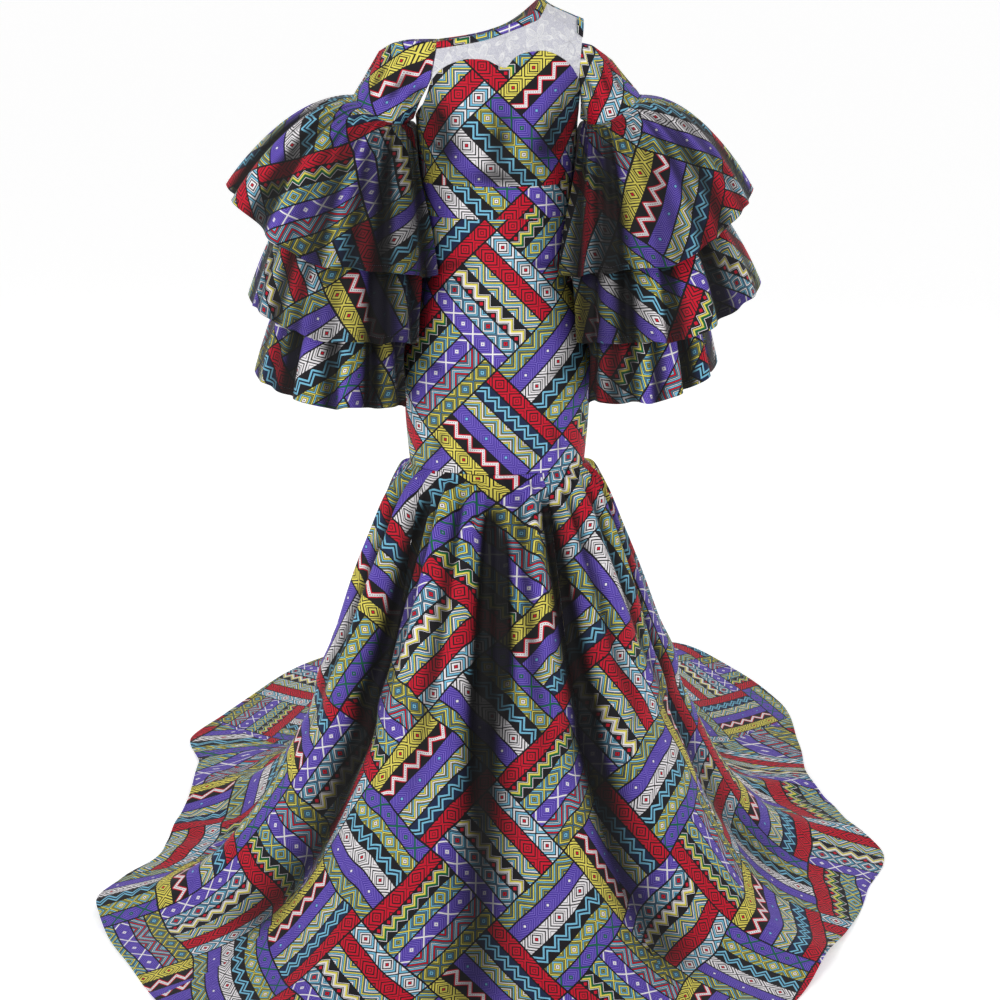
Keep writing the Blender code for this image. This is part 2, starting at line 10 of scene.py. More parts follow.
import bpy
import numpy as np
from bpy.props import FloatProperty, FloatVectorProperty, IntProperty, PointerProperty
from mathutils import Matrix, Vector


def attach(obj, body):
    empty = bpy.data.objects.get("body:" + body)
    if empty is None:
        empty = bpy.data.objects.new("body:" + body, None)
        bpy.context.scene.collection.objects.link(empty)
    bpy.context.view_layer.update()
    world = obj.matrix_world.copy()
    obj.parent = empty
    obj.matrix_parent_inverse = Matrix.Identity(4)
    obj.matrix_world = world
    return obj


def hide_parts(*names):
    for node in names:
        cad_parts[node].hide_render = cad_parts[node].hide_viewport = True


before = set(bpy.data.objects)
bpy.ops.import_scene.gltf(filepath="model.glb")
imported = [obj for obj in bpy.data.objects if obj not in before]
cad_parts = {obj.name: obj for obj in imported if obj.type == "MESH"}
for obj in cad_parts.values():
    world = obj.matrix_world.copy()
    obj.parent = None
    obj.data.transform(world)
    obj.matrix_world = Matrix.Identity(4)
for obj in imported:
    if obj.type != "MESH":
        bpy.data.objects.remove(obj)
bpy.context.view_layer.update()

bl_info = {
    "name": "Wax Print Dress",
    "version": (1, 0, 0),
    "blender": (4, 5, 0),
    "location": "View3D > Sidebar > Dress",
    "description": "Dresses the solids of a wax print dress with thin printed cloth",
    "category": "Object",
}

# Cloth and clearances, as in the solids
CLOTH = 0.0015
SEAM = 0.0005
STRIP_AIR = 0.0010
EASE = 0.0045

# Seam heights, and the height at which the shoulders hold the dress
SHOULDER_HEIGHT = 1.4400
FLARE_SEAM = 0.7145
BAND_BOTTOM = 1.126
BAND_TOP = 1.178
UNDERARM = 1.276
BODY_LOW = FLARE_SEAM + SEAM

# The block that the cloth keeps, in level sections. Depths are from the upright axis.
BLOCK_COLUMNS = ("height", "half_width", "front", "back")
BLOCK = {
    "thigh": (0.715, 0.1405, 0.0915, 0.0960),
    "seat": (0.800, 0.1470, 0.0950, 0.1080),
    "hip": (0.880, 0.1490, 0.0930, 0.1130),
    "high_hip": (0.965, 0.1320, 0.0850, 0.0970),
    "waist": (1.050, 0.1120, 0.0780, 0.0780),
    "rib": (1.126, 0.1140, 0.0870, 0.0800),
    "underbust": (1.178, 0.1175, 0.1000, 0.0840),
    "bust": (1.235, 0.1220, 0.1150, 0.0880),
    "underarm": (1.276, 0.1240, 0.1100, 0.0900),
    "chest": (1.310, 0.1330, 0.0970, 0.0920),
    "armhole": (1.340, 0.1520, 0.0840, 0.0890),
    "under_tip": (1.368, 0.1715, 0.0720, 0.0810),
    "shoulder_tip": (1.388, 0.1760, 0.0650, 0.0740),
    "shoulder": (1.408, 0.1580, 0.0600, 0.0680),
    "shoulder_slope": (1.428, 0.1150, 0.0560, 0.0620),
    "neck_base": (1.446, 0.0760, 0.0530, 0.0560),
    "neck": (1.462, 0.0590, 0.0510, 0.0520),
}
# The side seam's angle from the front, in degrees, and the step of the columns beside it
SIDE_SEAM = 89.70
SIDE_STEP = 2.5
# The bust cups, and the heights over which the shoulders' lift and the room for the cups set in
CUP = {"height": 1.238, "angle": 35.0, "depth": 0.016, "spread_up": 0.050, "spread_round": 24.0}
SHOULDER_LIFT = (1.300, 1.400)
CUP_CLEARANCE = (1.100, 1.200)

# Edges on the upper body, as places across the front or back and their heights
SWEETHEART = (
    (-0.1015, 1.336),
    (-0.0900, 1.350),
    (-0.0640, 1.364),
    (-0.0400, 1.369),
    (-0.0140, 1.367),
    (0.0110, 1.3555),
    (0.0250, 1.369),
    (0.0480, 1.379),
    (0.0720, 1.381),
    (0.0950, 1.373),
    (0.1160, 1.357),
    (0.1270, 1.338),
)
YOKE_TOP = (
    (-0.0925, 1.3835),
    (-0.0530, 1.3900),
    (-0.0220, 1.3955),
    (0.0170, 1.4080),
    (0.0480, 1.4200),
    (0.0680, 1.4300),
)
ARMHOLE_RIGHT = ((-0.1085, 1.316), (-0.1180, 1.294), (-0.1270, 1.279), (-0.1280, UNDERARM))
ARMHOLE_LEFT = ((0.1300, 1.318), (0.1290, 1.296), (0.1280, 1.279), (0.1280, UNDERARM))
# The printed strips and the strap: widths, and where along the shoulder they start and end
BINDING_WIDTH = 0.0110
NECK_POINT = 0.0790
SHOULDER_POINT = 0.1340
STRAP_HALF = 0.0100
STRAP_SEAM = 0.0014
# The back's edge: its low corner, the step up to it, the drop past the strap, and how straight the
# neckline between them is
BACK_CORNER = (-0.0925, 1.3835)
BACK_RISE = [(-0.1015, 1.336)]
BACK_DROP = [(0.1285, 1.380), (0.1270, 1.338)]
NECKLINE_STRAIGHT = 0.3
YOKE_STEPS = 16
STRAP_STEPS = 4
NECKLINE_STEPS = 12
YOKE_SHARES = (0.0, 0.12, 0.3)

# The skirt from the flare seam to the hem. Past the knee each row is a share of the way from the
# knee section out to the hem line on the floor.
SKIRT_COLUMNS = ("height", "half_width", "front", "back", "reach", "groove", "ridge")
SKIRT = {
    "seam": (FLARE_SEAM, 0.1455, 0.0965, 0.1010, 0.00, 0.000, 0.000),
    "gathers": (0.698, 0.1680, 0.1180, 0.1230, 0.00, 0.004, 0.000),
    "puff": (0.665, 0.1870, 0.1420, 0.1500, 0.00, 0.010, 0.000),
    "thigh": (0.600, 0.2120, 0.1700, 0.1850, 0.00, 0.018, 0.000),
    "above_knee": (0.520, 0.2420, 0.2000, 0.2250, 0.00, 0.026, 0.000),
    "knee": (0.430, 0.2730, 0.2320, 0.2700, 0.00, 0.034, 0.000),
    "below_knee": (0.335, 0.3080, 0.2680, 0.3250, 0.00, 0.042, 0.000),
    "calf": (0.245, 0.3080, 0.2680, 0.3250, 0.10, 0.047, 0.004),
    "shin": (0.158, 0.3080, 0.2680, 0.3250, 0.22, 0.046, 0.012),
    "ankle": (0.084, 0.3080, 0.2680, 0.3250, 0.36, 0.036, 0.022),
    "floor_curve": (0.034, 0.3080, 0.2680, 0.3250, 0.50, 0.018, 0.028),
    "floor": (0.009, 0.3080, 0.2680, 0.3250, 0.65, 0.004, 0.026),
    "train": (0.0020, 0.3080, 0.2680, 0.3250, 0.82, 0.000, 0.020),
    "hem": (0.0015, 0.3080, 0.2680, 0.3250, 1.00, 0.000, 0.016),
}
DEEPEST_GROOVE = 0.047

# Grooves that hang down the skirt: angle from the front at the waist and at the floor, in degrees
GROOVE_COLUMNS = ("waist_angle", "floor_angle", "depth", "spread")
GROOVES = {
    "centre": (-1.0, -5.0, 1.00, 8.0),
    "left_front": (25.0, 35.0, 1.00, 8.0),
    "left_side": (76.0, 80.0, 0.70, 10.0),
    "left_back": (135.0, 132.0, 0.85, 10.0),
    "centre_back": (180.0, 178.0, 1.00, 10.0),
    "right_back": (-135.0, -138.0, 0.85, 10.0),
    "right_side": (-90.0, -94.0, 0.80, 10.0),
    "right_front": (-40.0, -56.0, 1.00, 8.0),
}
# Ridges that lie out across the train, between the grooves
RIDGE_COLUMNS = ("angle", "rise", "spread")
RIDGES = {
    "front_left": (54.0, 0.90, 6.5),
    "left": (97.0, 1.00, 7.0),
    "left_tip": (114.0, 0.80, 6.5),
    "back_left": (156.0, 1.00, 6.5),
    "back_right": (-158.0, 0.90, 6.5),
    "right_tip": (-115.0, 1.00, 6.5),
    "right": (-72.0, 0.90, 7.0),
    "front_right": (-27.0, 0.80, 6.5),
}
# The hem line on the floor: angle from the front towards the dress's left, and reach
HEM = (
    (-180.0, 1.120),
    (-163.0, 1.040),
    (-150.0, 0.954),
    (-137.0, 0.840),
    (-129.0, 0.800),
    (-122.0, 0.690),
    (-107.0, 0.607),
    (-90.0, 0.590),
    (-80.0, 0.650),
    (-71.0, 0.700),
    (-57.0, 0.700),
    (-40.0, 0.735),
    (-20.0, 0.775),
    (0.0, 0.790),
    (20.0, 0.760),
    (42.0, 0.676),
    (60.0, 0.640),
    (76.0, 0.645),
    (88.0, 0.680),
    (98.0, 0.640),
    (113.0, 0.652),
    (128.0, 0.770),
    (139.0, 0.915),
    (160.0, 1.090),
)
# Each gore's first and last angle, and the angle at which its print stands upright
GORES = {
    "skirt_front": (-46.0, 29.0, 0.0),
    "skirt_left": (29.0, 135.0, 0.0),
    "skirt_back": (135.0, 225.0, 180.0),
    "skirt_right": (225.0, 314.0, 360.0),
}
# How far the skirt stands out between its grooves, as a share of their depth, and the gap between
# two gores
GROOVE_LEVEL = 0.25
GORE_GAP = 0.0005
# How much less shade is painted in the grooves towards the hem, and from which share of the way
# down
GROOVE_SHADE_FADE = {"start": 0.45, "share": 0.60}
# How sharply a groove's painted shade falls off to its sides, and the painted shade of the finer
# folds
GROOVE_POWER = 1.9
FINE_SHADE = {"share": 0.95, "full_depth": 0.013}

# Finer folds of the skirt: angles at the top and low end, the stretch from seam to hem that they
# take, how deep they are (a ridge is below zero) and how wide, in degrees
SKIRT_FOLD_COLUMNS = ("top_angle", "low_angle", "start", "stop", "depth", "spread")
SKIRT_FOLDS = (
    (-3.0, -7.0, 0.10, 0.62, 0.012, 3.2),
    (3.5, 3.0, 0.16, 0.50, 0.009, 2.6),
    (-12.0, -16.0, 0.02, 0.48, -0.007, 3.4),
    (-18.0, -23.0, 0.02, 0.60, 0.009, 3.0),
    (-26.0, -33.0, 0.02, 0.44, -0.006, 3.2),
    (-31.0, -39.0, 0.03, 0.52, 0.007, 2.6),
    (-39.0, -55.0, 0.08, 0.64, 0.013, 3.2),
    (-51.0, -64.0, 0.02, 0.50, -0.007, 3.6),
    (-60.0, -70.0, 0.02, 0.58, 0.010, 3.4),
    (-70.0, -78.0, 0.03, 0.46, -0.006, 3.2),
    (-80.0, -84.0, 0.02, 0.50, 0.008, 3.0),
    (-91.0, -95.0, 0.10, 0.62, 0.010, 3.6),
    (-103.0, -106.0, 0.02, 0.56, 0.009, 3.4),
    (-113.0, -117.0, 0.02, 0.42, -0.007, 3.6),
    (-124.0, -127.0, 0.03, 0.58, 0.008, 3.0),
    (-136.0, -139.0, 0.10, 0.62, 0.011, 3.6),
    (-149.0, -150.0, 0.02, 0.50, 0.008, 3.2),
    (-160.0, -160.0, 0.02, 0.44, -0.007, 3.6),
    (-170.0, -169.0, 0.02, 0.60, 0.009, 3.0),
    (180.0, 178.0, 0.10, 0.62, 0.012, 3.6),
    (168.0, 166.0, 0.02, 0.48, -0.006, 3.2),
    (158.0, 155.0, 0.02, 0.60, 0.009, 3.2),
    (147.0, 144.0, 0.03, 0.46, 0.007, 2.8),
    (134.0, 131.0, 0.10, 0.62, 0.011, 3.6),
    (122.0, 121.0, 0.02, 0.54, 0.008, 3.2),
    (112.0, 110.0, 0.02, 0.42, -0.007, 3.4),
    (101.0, 102.0, 0.02, 0.58, 0.009, 3.2),
    (89.0, 92.0, 0.03, 0.46, 0.006, 2.8),
    (77.0, 81.0, 0.08, 0.62, 0.010, 3.4),
    (66.0, 71.0, 0.02, 0.48, -0.006, 3.2),
    (57.0, 63.0, 0.02, 0.58, 0.009, 3.2),
    (47.0, 54.0, 0.02, 0.42, -0.006, 3.0),
    (39.0, 47.0, 0.02, 0.56, 0.008, 2.8),
    (26.0, 35.0, 0.08, 0.64, 0.013, 3.0),
    (17.0, 20.0, 0.02, 0.44, -0.006, 3.0),
    (11.0, 13.0, 0.02, 0.56, 0.008, 2.8),
)
# Small gathers under the low seam: how many, how deep, and where they have died out
SKIRT_GATHERS = {"count": 58, "depth": 0.0030, "full": 0.06, "gone": 0.36}
# Ripples of the train near its hem
HEM_RIPPLES = {"count": 31, "height": 0.0045, "start": 0.62}

# The sleeves' top edges: how far round the sleeve from its outer side, by the front or the back,
# and the place and height there
TOP_EDGE_COLUMNS = ("turn", "across", "height")
# The least that the edge lies in front of or behind the shoulder
TOP_EDGE_DEPTH = 0.030
TOP_EDGE = {
    "right": (
        (0.0, 0.1850, 1.3780),
        (45.0, 0.1620, 1.3900),
        (85.0, 0.1290, 1.3945),
        (115.0, 0.0931, 1.3940),
        (140.0, 0.1045, 1.3360),
        (160.0, 0.1225, 1.2990),
        (180.0, 0.1318, 1.2740),
    ),
    "left": (
        (0.0, 0.1820, 1.3640),
        (45.0, 0.1650, 1.3760),
        (85.0, 0.1490, 1.3860),
        (115.0, 0.1325, 1.3890),
        (140.0, 0.1283, 1.3360),
        (160.0, 0.1330, 1.3020),
        (180.0, 0.1318, 1.2740),
    ),
}
# Sleeve rings: level centre and how the ring runs round it. Round starts at the sleeve's outer
# side and goes by the front. "swing" and "saddle" are cosines of once and twice it.
RING_COLUMNS = (
    "x_mid", "x_swing", "x_saddle", "y_front", "y_back", "z_mid", "z_swing", "z_saddle",
)
SLEEVE_RINGS = {
    "tier_1": (0.1800, 0.0430, 0.0030, 0.0760, 0.0780, 1.2840, 0.0210, 0.0060),
    "upper_arm": (0.1960, 0.0550, 0.0000, 0.0640, 0.0650, 1.2400, 0.0180, 0.0000),
    "tier_2": (0.2040, 0.0540, 0.0000, 0.0590, 0.0590, 1.1800, 0.0140, 0.0000),
    "tier_3": (0.2120, 0.0520, 0.0000, 0.0560, 0.0560, 1.0800, 0.0120, 0.0000),
}
# How far the waves lift and drop a ruffle's hem, how high above it the hem is sewn, and how
# sharply it falls from the front towards the outer side
HEM_FALL = 0.008
HEM_SEWN = 0.008
HEM_SHARPNESS = 1.5
# The least width of a ruffle's cut above its hem, as a share of the hem's
BEFORE_GATHERING = 0.62

# Ruffle tiers: the hem ring, its wave and how near the body the cloth may come
TIER_COLUMNS = (
    "ring", "x_mid", "half_width", "half_depth", "outer", "front", "inner", "wave", "body_gap",
)
TIERS = {
    "left": (
        ("tier_1", 0.2520, 0.1560, 0.1650, 1.160, 1.062, 1.030, 0.0130, 0.0080),
        ("tier_2", 0.2660, 0.1600, 0.1530, 1.012, 0.944, 0.925, 0.0120, 0.0180),
        ("tier_3", 0.2370, 0.1230, 0.1330, 0.882, 0.842, 0.830, 0.0110, 0.0280),
    ),
    "right": (
        ("tier_1", 0.2580, 0.1720, 0.1650, 1.171, 1.062, 1.030, 0.0130, 0.0080),
        ("tier_2", 0.2520, 0.1500, 0.1530, 0.990, 0.944, 0.925, 0.0120, 0.0180),
        ("tier_3", 0.2540, 0.1420, 0.1330, 0.866, 0.834, 0.822, 0.0110, 0.0280),
    ),
}
TIER_WAVES = 11
# Where a tier's flat strip is joined: behind the sleeve, on its inner side
TIER_JOIN = math.radians(-150.0)
# Small gathers under each tier's seam: how many, how deep, and where they have died out
TIER_GATHERS = {"count": 44, "depth": 0.0028, "full": 0.05, "gone": 0.55}
# The shade painted on the ruffles: in their waves where these are below a level, in their folds,
# between gathers and near the body, which sets in between two turns from the outer side, in degrees
WAVE_SHADE = {"share": 0.85, "level": 0.3, "power": 1.3}
FOLD_SHADE = {"share": 0.85, "full_depth": 0.012}
GATHER_SHADE = 0.35
INNER_SHADE = 0.58
INNER_TURN = (60.0, 150.0)
# The waves are lower on the outer side of each ruffle
OUTER_CALM = {"share": 0.75, "spread": 40.0}
# A ruffle's folds: how far round from the outer side by the front, in degrees, how deep (a ridge
# is below zero) and how wide
TIER_FOLD_COLUMNS = ("turn", "depth", "spread")
TIER_FOLDS = (
    (28.0, 0.007, 5.0),
    (62.0, 0.009, 5.5),
    (84.0, -0.006, 5.0),
    (104.0, 0.011, 5.0),
    (128.0, 0.012, 5.5),
    (-35.0, 0.007, 5.0),
    (-70.0, 0.009, 5.5),
    (-98.0, 0.008, 5.0),
    (-130.0, 0.010, 5.5),
)

# Creases drawn as lines on a flat piece, in metres from its upright middle: across and height at
# one end and at the other, then depth and half width. A ridge has a depth below zero.
# A crease's depth also sets the shade painted into it, through fold_shade
CREASE_COLUMNS = ("u1", "v1", "u2", "v2", "depth", "half_width")
# How deep a crease is at its ends, as a share of its depth
CREASE_END = 0.25
CREASES = {
    "body_front": (
        (-0.118, 1.090, -0.150, 0.880, 0.0012, 0.0200),
        (0.118, 1.090, 0.150, 0.880, 0.0012, 0.0200),
        (-0.125, 1.040, -0.030, 1.062, 0.0016, 0.0070),
        (-0.118, 1.012, -0.055, 1.018, 0.0012, 0.0060),
        (0.125, 1.046, 0.040, 1.058, 0.0016, 0.0070),
        (0.120, 1.020, 0.062, 1.016, 0.0012, 0.0060),
        (-0.150, 0.905, -0.080, 0.880, 0.0014, 0.0090),
        (0.150, 0.900, 0.075, 0.870, 0.0014, 0.0090),
        (-0.060, 0.745, -0.020, 0.775, 0.0010, 0.0060),
        (0.070, 0.748, 0.030, 0.770, 0.0010, 0.0060),
        (-0.110, 0.735, -0.085, 0.790, 0.0012, 0.0070),
        (0.112, 0.738, 0.090, 0.792, 0.0012, 0.0070),
    ),
    "body_back": (
        (-0.120, 1.060, -0.020, 1.044, 0.0018, 0.0075),
        (0.120, 1.062, 0.024, 1.046, 0.0018, 0.0075),
        (-0.115, 1.026, -0.050, 1.018, 0.0014, 0.0065),
        (0.112, 1.022, 0.045, 1.016, 0.0014, 0.0065),
        (-0.150, 0.830, -0.070, 0.812, 0.0014, 0.0090),
        (0.150, 0.826, 0.066, 0.808, 0.0014, 0.0090),
        (-0.080, 0.740, -0.050, 0.780, 0.0012, 0.0070),
        (0.086, 0.744, 0.052, 0.778, 0.0012, 0.0070),
    ),
    "bodice_front": (
        (-0.108, 1.320, -0.070, 1.205, 0.0030, 0.0270),
        (0.008, 1.310, 0.000, 1.195, 0.0022, 0.0180),
        (0.055, 1.215, 0.116, 1.300, 0.0030, 0.0250),
        (-0.050, 1.198, 0.055, 1.194, 0.0022, 0.0140),
        (-0.135, 1.255, -0.088, 1.235, 0.0014, 0.0060),
        (0.135, 1.252, 0.090, 1.236, 0.0014, 0.0060),
        (-0.020, 1.262, 0.024, 1.258, 0.0012, 0.0080),
        (-0.112, 1.310, -0.085, 1.282, 0.0012, 0.0060),
        (0.118, 1.316, 0.092, 1.284, 0.0012, 0.0060),
    ),
    "bodice_back": (
        (-0.130, 1.250, -0.060, 1.238, 0.0014, 0.0070),
        (0.130, 1.246, 0.058, 1.236, 0.0014, 0.0070),
        (-0.110, 1.310, -0.050, 1.330, 0.0012, 0.0080),
        (0.112, 1.312, 0.060, 1.338, 0.0012, 0.0080),
    ),
    "sleeve": (
        (-0.110, 1.350, -0.080, 1.300, 0.0024, 0.0070),
        (-0.060, 1.372, -0.052, 1.305, 0.0020, 0.0070),
        (-0.018, 1.370, -0.024, 1.300, 0.0022, 0.0070),
        (0.030, 1.368, 0.022, 1.302, 0.0020, 0.0070),
        (0.075, 1.360, 0.060, 1.300, 0.0024, 0.0070),
        (0.115, 1.340, 0.094, 1.296, 0.0022, 0.0070),
    ),
}

# The inks of the print, and its strips in their order: six to a block. A strip's form says which
# lines are drawn on it, and repeats how many motifs lie along it.
INKS = {
    "black": (0.009, 0.008, 0.011),
    "navy": (0.010, 0.022, 0.070),
    "indigo": (0.062, 0.030, 0.345),
    "lilac": (0.235, 0.165, 0.640),
    "sky": (0.200, 0.540, 0.740),
    "steel": (0.075, 0.200, 0.310),
    "yellow": (0.830, 0.730, 0.120),
    "olive": (0.300, 0.290, 0.050),
    "green": (0.003, 0.150, 0.045),
    "red": (0.640, 0.004, 0.026),
    "white": (0.900, 0.870, 0.890),
}
STRIP_COLUMNS = ("form", "repeats", "ground", "line", "fill", "accent")
STRIPS = (
    ("chevrons", 3.5, "steel", "yellow", "sky", "olive"),
    ("squares", 3.0, "indigo", "lilac", "indigo", "white"),
    ("brackets", 3.0, "white", "black", "white", "red"),
    ("steps", 6.0, "black", "sky", "navy", "sky"),
    ("chain", 4.0, "olive", "sky", "yellow", "white"),
    ("crosses", 3.5, "indigo", "lilac", "indigo", "green"),
    ("lattice", 3.5, "red", "black", "red", "red"),
    ("staircase", 7.0, "black", "white", "green", "yellow"),
    ("chain", 3.5, "steel", "yellow", "sky", "olive"),
    ("crosses", 3.0, "indigo", "lilac", "indigo", "white"),
    ("chevrons", 3.0, "white", "sky", "red", "steel"),
    ("chain", 4.0, "yellow", "olive", "steel", "sky"),
    ("brackets", 3.5, "yellow", "black", "yellow", "red"),
    ("ribbon", 5.0, "white", "black", "red", "black"),
    ("squares", 3.5, "indigo", "lilac", "indigo", "sky"),
    ("chevrons", 4.0, "olive", "sky", "yellow", "white"),
    ("steps", 7.0, "navy", "sky", "black", "sky"),
    ("lattice", 4.0, "red", "black", "red", "red"),
    ("crosses", 3.5, "indigo", "lilac", "indigo", "white"),
    ("chain", 4.0, "sky", "white", "steel", "red"),
    ("staircase", 6.0, "black", "white", "yellow", "white"),
    ("chevrons", 3.5, "steel", "white", "sky", "yellow"),
    ("lattice", 3.5, "red", "black", "red", "red"),
    ("brackets", 3.0, "white", "black", "sky", "red"),
)
# Each form's bands of ink, from the middle of a motif out, one letter for each BAND_CELL of a
# strip's width. Closed forms are drawn alike on both sides of the strip, so their bands are rings;
# open ones run as zigzags from one edge of the strip to the other.
BAND_INKS = {"g": "ground", "l": "line", "f": "fill", "a": "accent", "k": "black"}
FORMS = {
    "squares": (0.0, "aagg" + "lgg" * 8),
    "crosses": (0.0, "laag" + "lgg" * 8),
    "brackets": (0.0, "aakgggkkggkfffkkgggkkfffkggg"),
    "lattice": (0.0, "ggkgggkkggggkkgggkggggkkgggk"),
    "chain": (0.0, "kaakffkllkggkffkllkggkffkllk"),
    "steps": (-0.5, "g" * 10 + "lllkfklll" + "g" * 18),
    "ribbon": (-0.5, "a" * 12 + "ffgglggff" + "a" * 16),
    "staircase": (-0.5, "g" * 9 + "lkaaafffkl" + "g" * 18),
    "chevrons": (-0.5, "gkllkffkaak" * 3 + "gkll"),
}
FIRST_OPEN_FORM = "steps"
BAND_CELL = 0.05
# Band places run from -0.5 to 1.5 strip widths and are looked up on a ramp from 0 to 1
BAND_FIRST = -0.5
BAND_RANGE = 2.0
# Repeats are looked up on such a ramp too, as shares of this
MOST_REPEATS = 10.0
# In strip widths: where a strip's black edge starts, half the line of a cross, the dots of a
# ribbon's line and the bead of a staircase
STRIP_EDGE = 0.450
CROSS_HALF = 0.065
DOT = 0.10
BEAD = {"across": -0.33, "half": 0.14}
# The black line round a block, as a share of its side, and how many kinds of block there are
BLOCK_EDGE = 0.011
BLOCK_KINDS = 4

# Spacing of the woven threads, and how high the middle of a binding stands
THREAD = 0.0008
BINDING_CROWN = 0.0009
# The lace's flowers and leaves: how many to a metre, petals of each, and their reach in a cell
PETAL_KINDS = ((22.0, 5.0, 0.36), (48.0, 3.0, 0.34))
NET_CELLS = 700.0
# The net's line as a share of a cell, how white it is and how high; and how high a leaf and the
# highest petal stand
NET = {"line": 0.16, "white": 0.55, "rise": 0.25}
LEAF_RISE = 0.8
LACE_RISE = 0.0007
# Petals: how far they are scattered, how deep between lobes, and their outline and filling
PETALS = {"scatter": 0.55, "lobes": 0.42, "outline": 0.07, "sharpness": 20.0, "filled": 0.35}
# Noises: how many to a metre, detail, and for an uneven finish the spread and least value
INK_NOISE = (60.0, 4.0, 0.30, 0.85)
ROUGH_NOISE = (25.0, 2.0, 0.18, 0.52)
PLAIN_NOISE = (40.0, 2.0, 0.16, 0.92)
SOFT_NOISE = (22.0, 3.0)
SOFT_RISE = 0.0020
WEAVE_RISE = 0.00012
# A stitch's thickness along it, as shares of its length and of the thread's radius
STITCH_PROFILE = ((0.0, 0.35), (0.15, 0.9), (0.5, 1.0), (0.85, 0.9), (1.0, 0.35))
# Steps of the arcs by which a piece is laid flat, and the least that a column falls in a step, as
# a share of its length there
ARC_STEPS = 24
LEAST_FALL = 0.6
# How far the cut of a gore follows its uneven flare: at 0 the gore is a plain fan
FLARE_FOLLOWED = 0.45
# The print's paler reverse: how far it is faded, and to which colour
REVERSE_FADE = 0.38
REVERSE_COLOUR = (0.42, 0.40, 0.44)
# Painted shade: how much light a full fold takes and how steeply, and the crease depth that counts
# as full
PAINTED_FOLD_DARKNESS = 0.90
SHADE_CURVE = 1.8
DARKEST_CREASE = 0.0040
# How much shade is painted on the body's sides, where the ruffles shade them, the share of its half
# width from which that sets in, and the heights
SIDE_SHADE = 0.45
SIDE_SHADE_ACROSS = (0.45, 1.0)
SIDE_SHADE_RISE = (0.78, 0.95)
# Where the band was cut from the cloth, apart from the pieces above and below it
BAND_SHIFT = (0.07, 0.05)

# How bright the light from all round is, the floor's own even glow, as on white studio paper, and
# how far it lies under the hem
AMBIENT = 0.68
FLOOR_GLOW = 0.35
FLOOR_DROP = 0.0006
# The lights: name, place, what each looks at, side in metres and watts
LIGHTS = (
    ("key_light", (-2.4, -3.4, 1.5), (0.0, 0.0, -0.6), 1.2, 46.0),
    ("fill_light", (3.0, -2.6, 0.6), (0.0, 0.0, -0.6), 2.2, 6.0),
    ("back_light", (0.6, 3.2, 1.8), (0.0, 0.3, -0.8), 2.0, 18.0),
)

# Grid steps of the shells, rows by columns
SHELL_STEPS = {
    "body": (84, 100),
    "band": (14, 110),
    "bodice": (64, 120),
    "yoke": (28, 90),
    "binding": (8, 120),
    "armhole_strip": (23, 8),
    "strap": (12, 40),
    "sleeve": (56, 132),
    "tier": (40, 340),
    "gore": (180, 110),
}


class DressSizes(bpy.types.PropertyGroup):
    """Sizes of the cloth, its print and its sewing."""

    shell: FloatProperty(
        name="Cloth", description="Thickness of the cloth", default=0.0011, unit="LENGTH",
        precision=4,
    )
    block: FloatProperty(
        name="Print block", description="Side of one block of the print", default=0.157,
        unit="LENGTH",
    )
    strips: IntProperty(
        name="Strips", description="Strips side by side in a block of the print", default=6,
    )
    stitch: FloatProperty(
        name="Stitch", description="Length of one machine stitch", default=0.0028, unit="LENGTH",
        precision=4,
    )
    stitch_pitch: FloatProperty(
        name="Stitch pitch", description="From one stitch to the next", default=0.0042,
        unit="LENGTH", precision=4,
    )
    thread: FloatProperty(
        name="Thread", description="Radius of the sewing thread", default=0.00028,
        unit="LENGTH", precision=5,
    )
    wave: FloatProperty(
        name="Ruffle waves", description="How strong the waves of the ruffles are", default=1.0,
        subtype="FACTOR",
    )
    folds: FloatProperty(
        name="Skirt folds", description="How deep the skirt's finer folds are", default=1.0,
        subtype="FACTOR",
    )


class DressInks(bpy.types.PropertyGroup):
    """Colours of the cloth and the stage."""

    lace: FloatVectorProperty(
        name="Lace", description="Colour of the lace's raised flowers", subtype="COLOR",
        default=(0.86, 0.86, 0.88),
    )
    net: FloatVectorProperty(
        name="Net", description="Colour of the ground of the lace", subtype="COLOR",
        default=(0.50, 0.50, 0.60),
    )
    thread: FloatVectorProperty(
        name="Thread", description="Colour of the sewing thread", subtype="COLOR",
        default=(0.030, 0.026, 0.045),
    )
    floor: FloatVectorProperty(
        name="Floor", description="Colour of the studio floor", subtype="COLOR",
        default=(0.93, 0.93, 0.93),
    )


class DressStage(bpy.types.PropertyGroup):
    """The camera and the floor."""

    camera_height: FloatProperty(
        name="Camera height", description="Height of the camera above the floor", default=1.500,
        unit="LENGTH",
    )
    camera_away: FloatProperty(
        name="Camera distance", description="How far in front of the dress the camera stands",
        default=3.000, unit="LENGTH",
    )
    camera_aside: FloatProperty(
        name="Camera aside", description="How far to the dress's left the camera stands",
        default=0.005, unit="LENGTH",
    )
    camera_tilt: FloatProperty(
        name="Camera tilt", description="How far down the camera looks",
        default=math.radians(15.9), unit="ROTATION",
    )
    lens: FloatProperty(
        name="Lens", description="Focal length in millimetres", default=66.96,
    )
    floor_radius: FloatProperty(
        name="Floor", description="Radius of the floor", default=400.0, unit="LENGTH",
    )


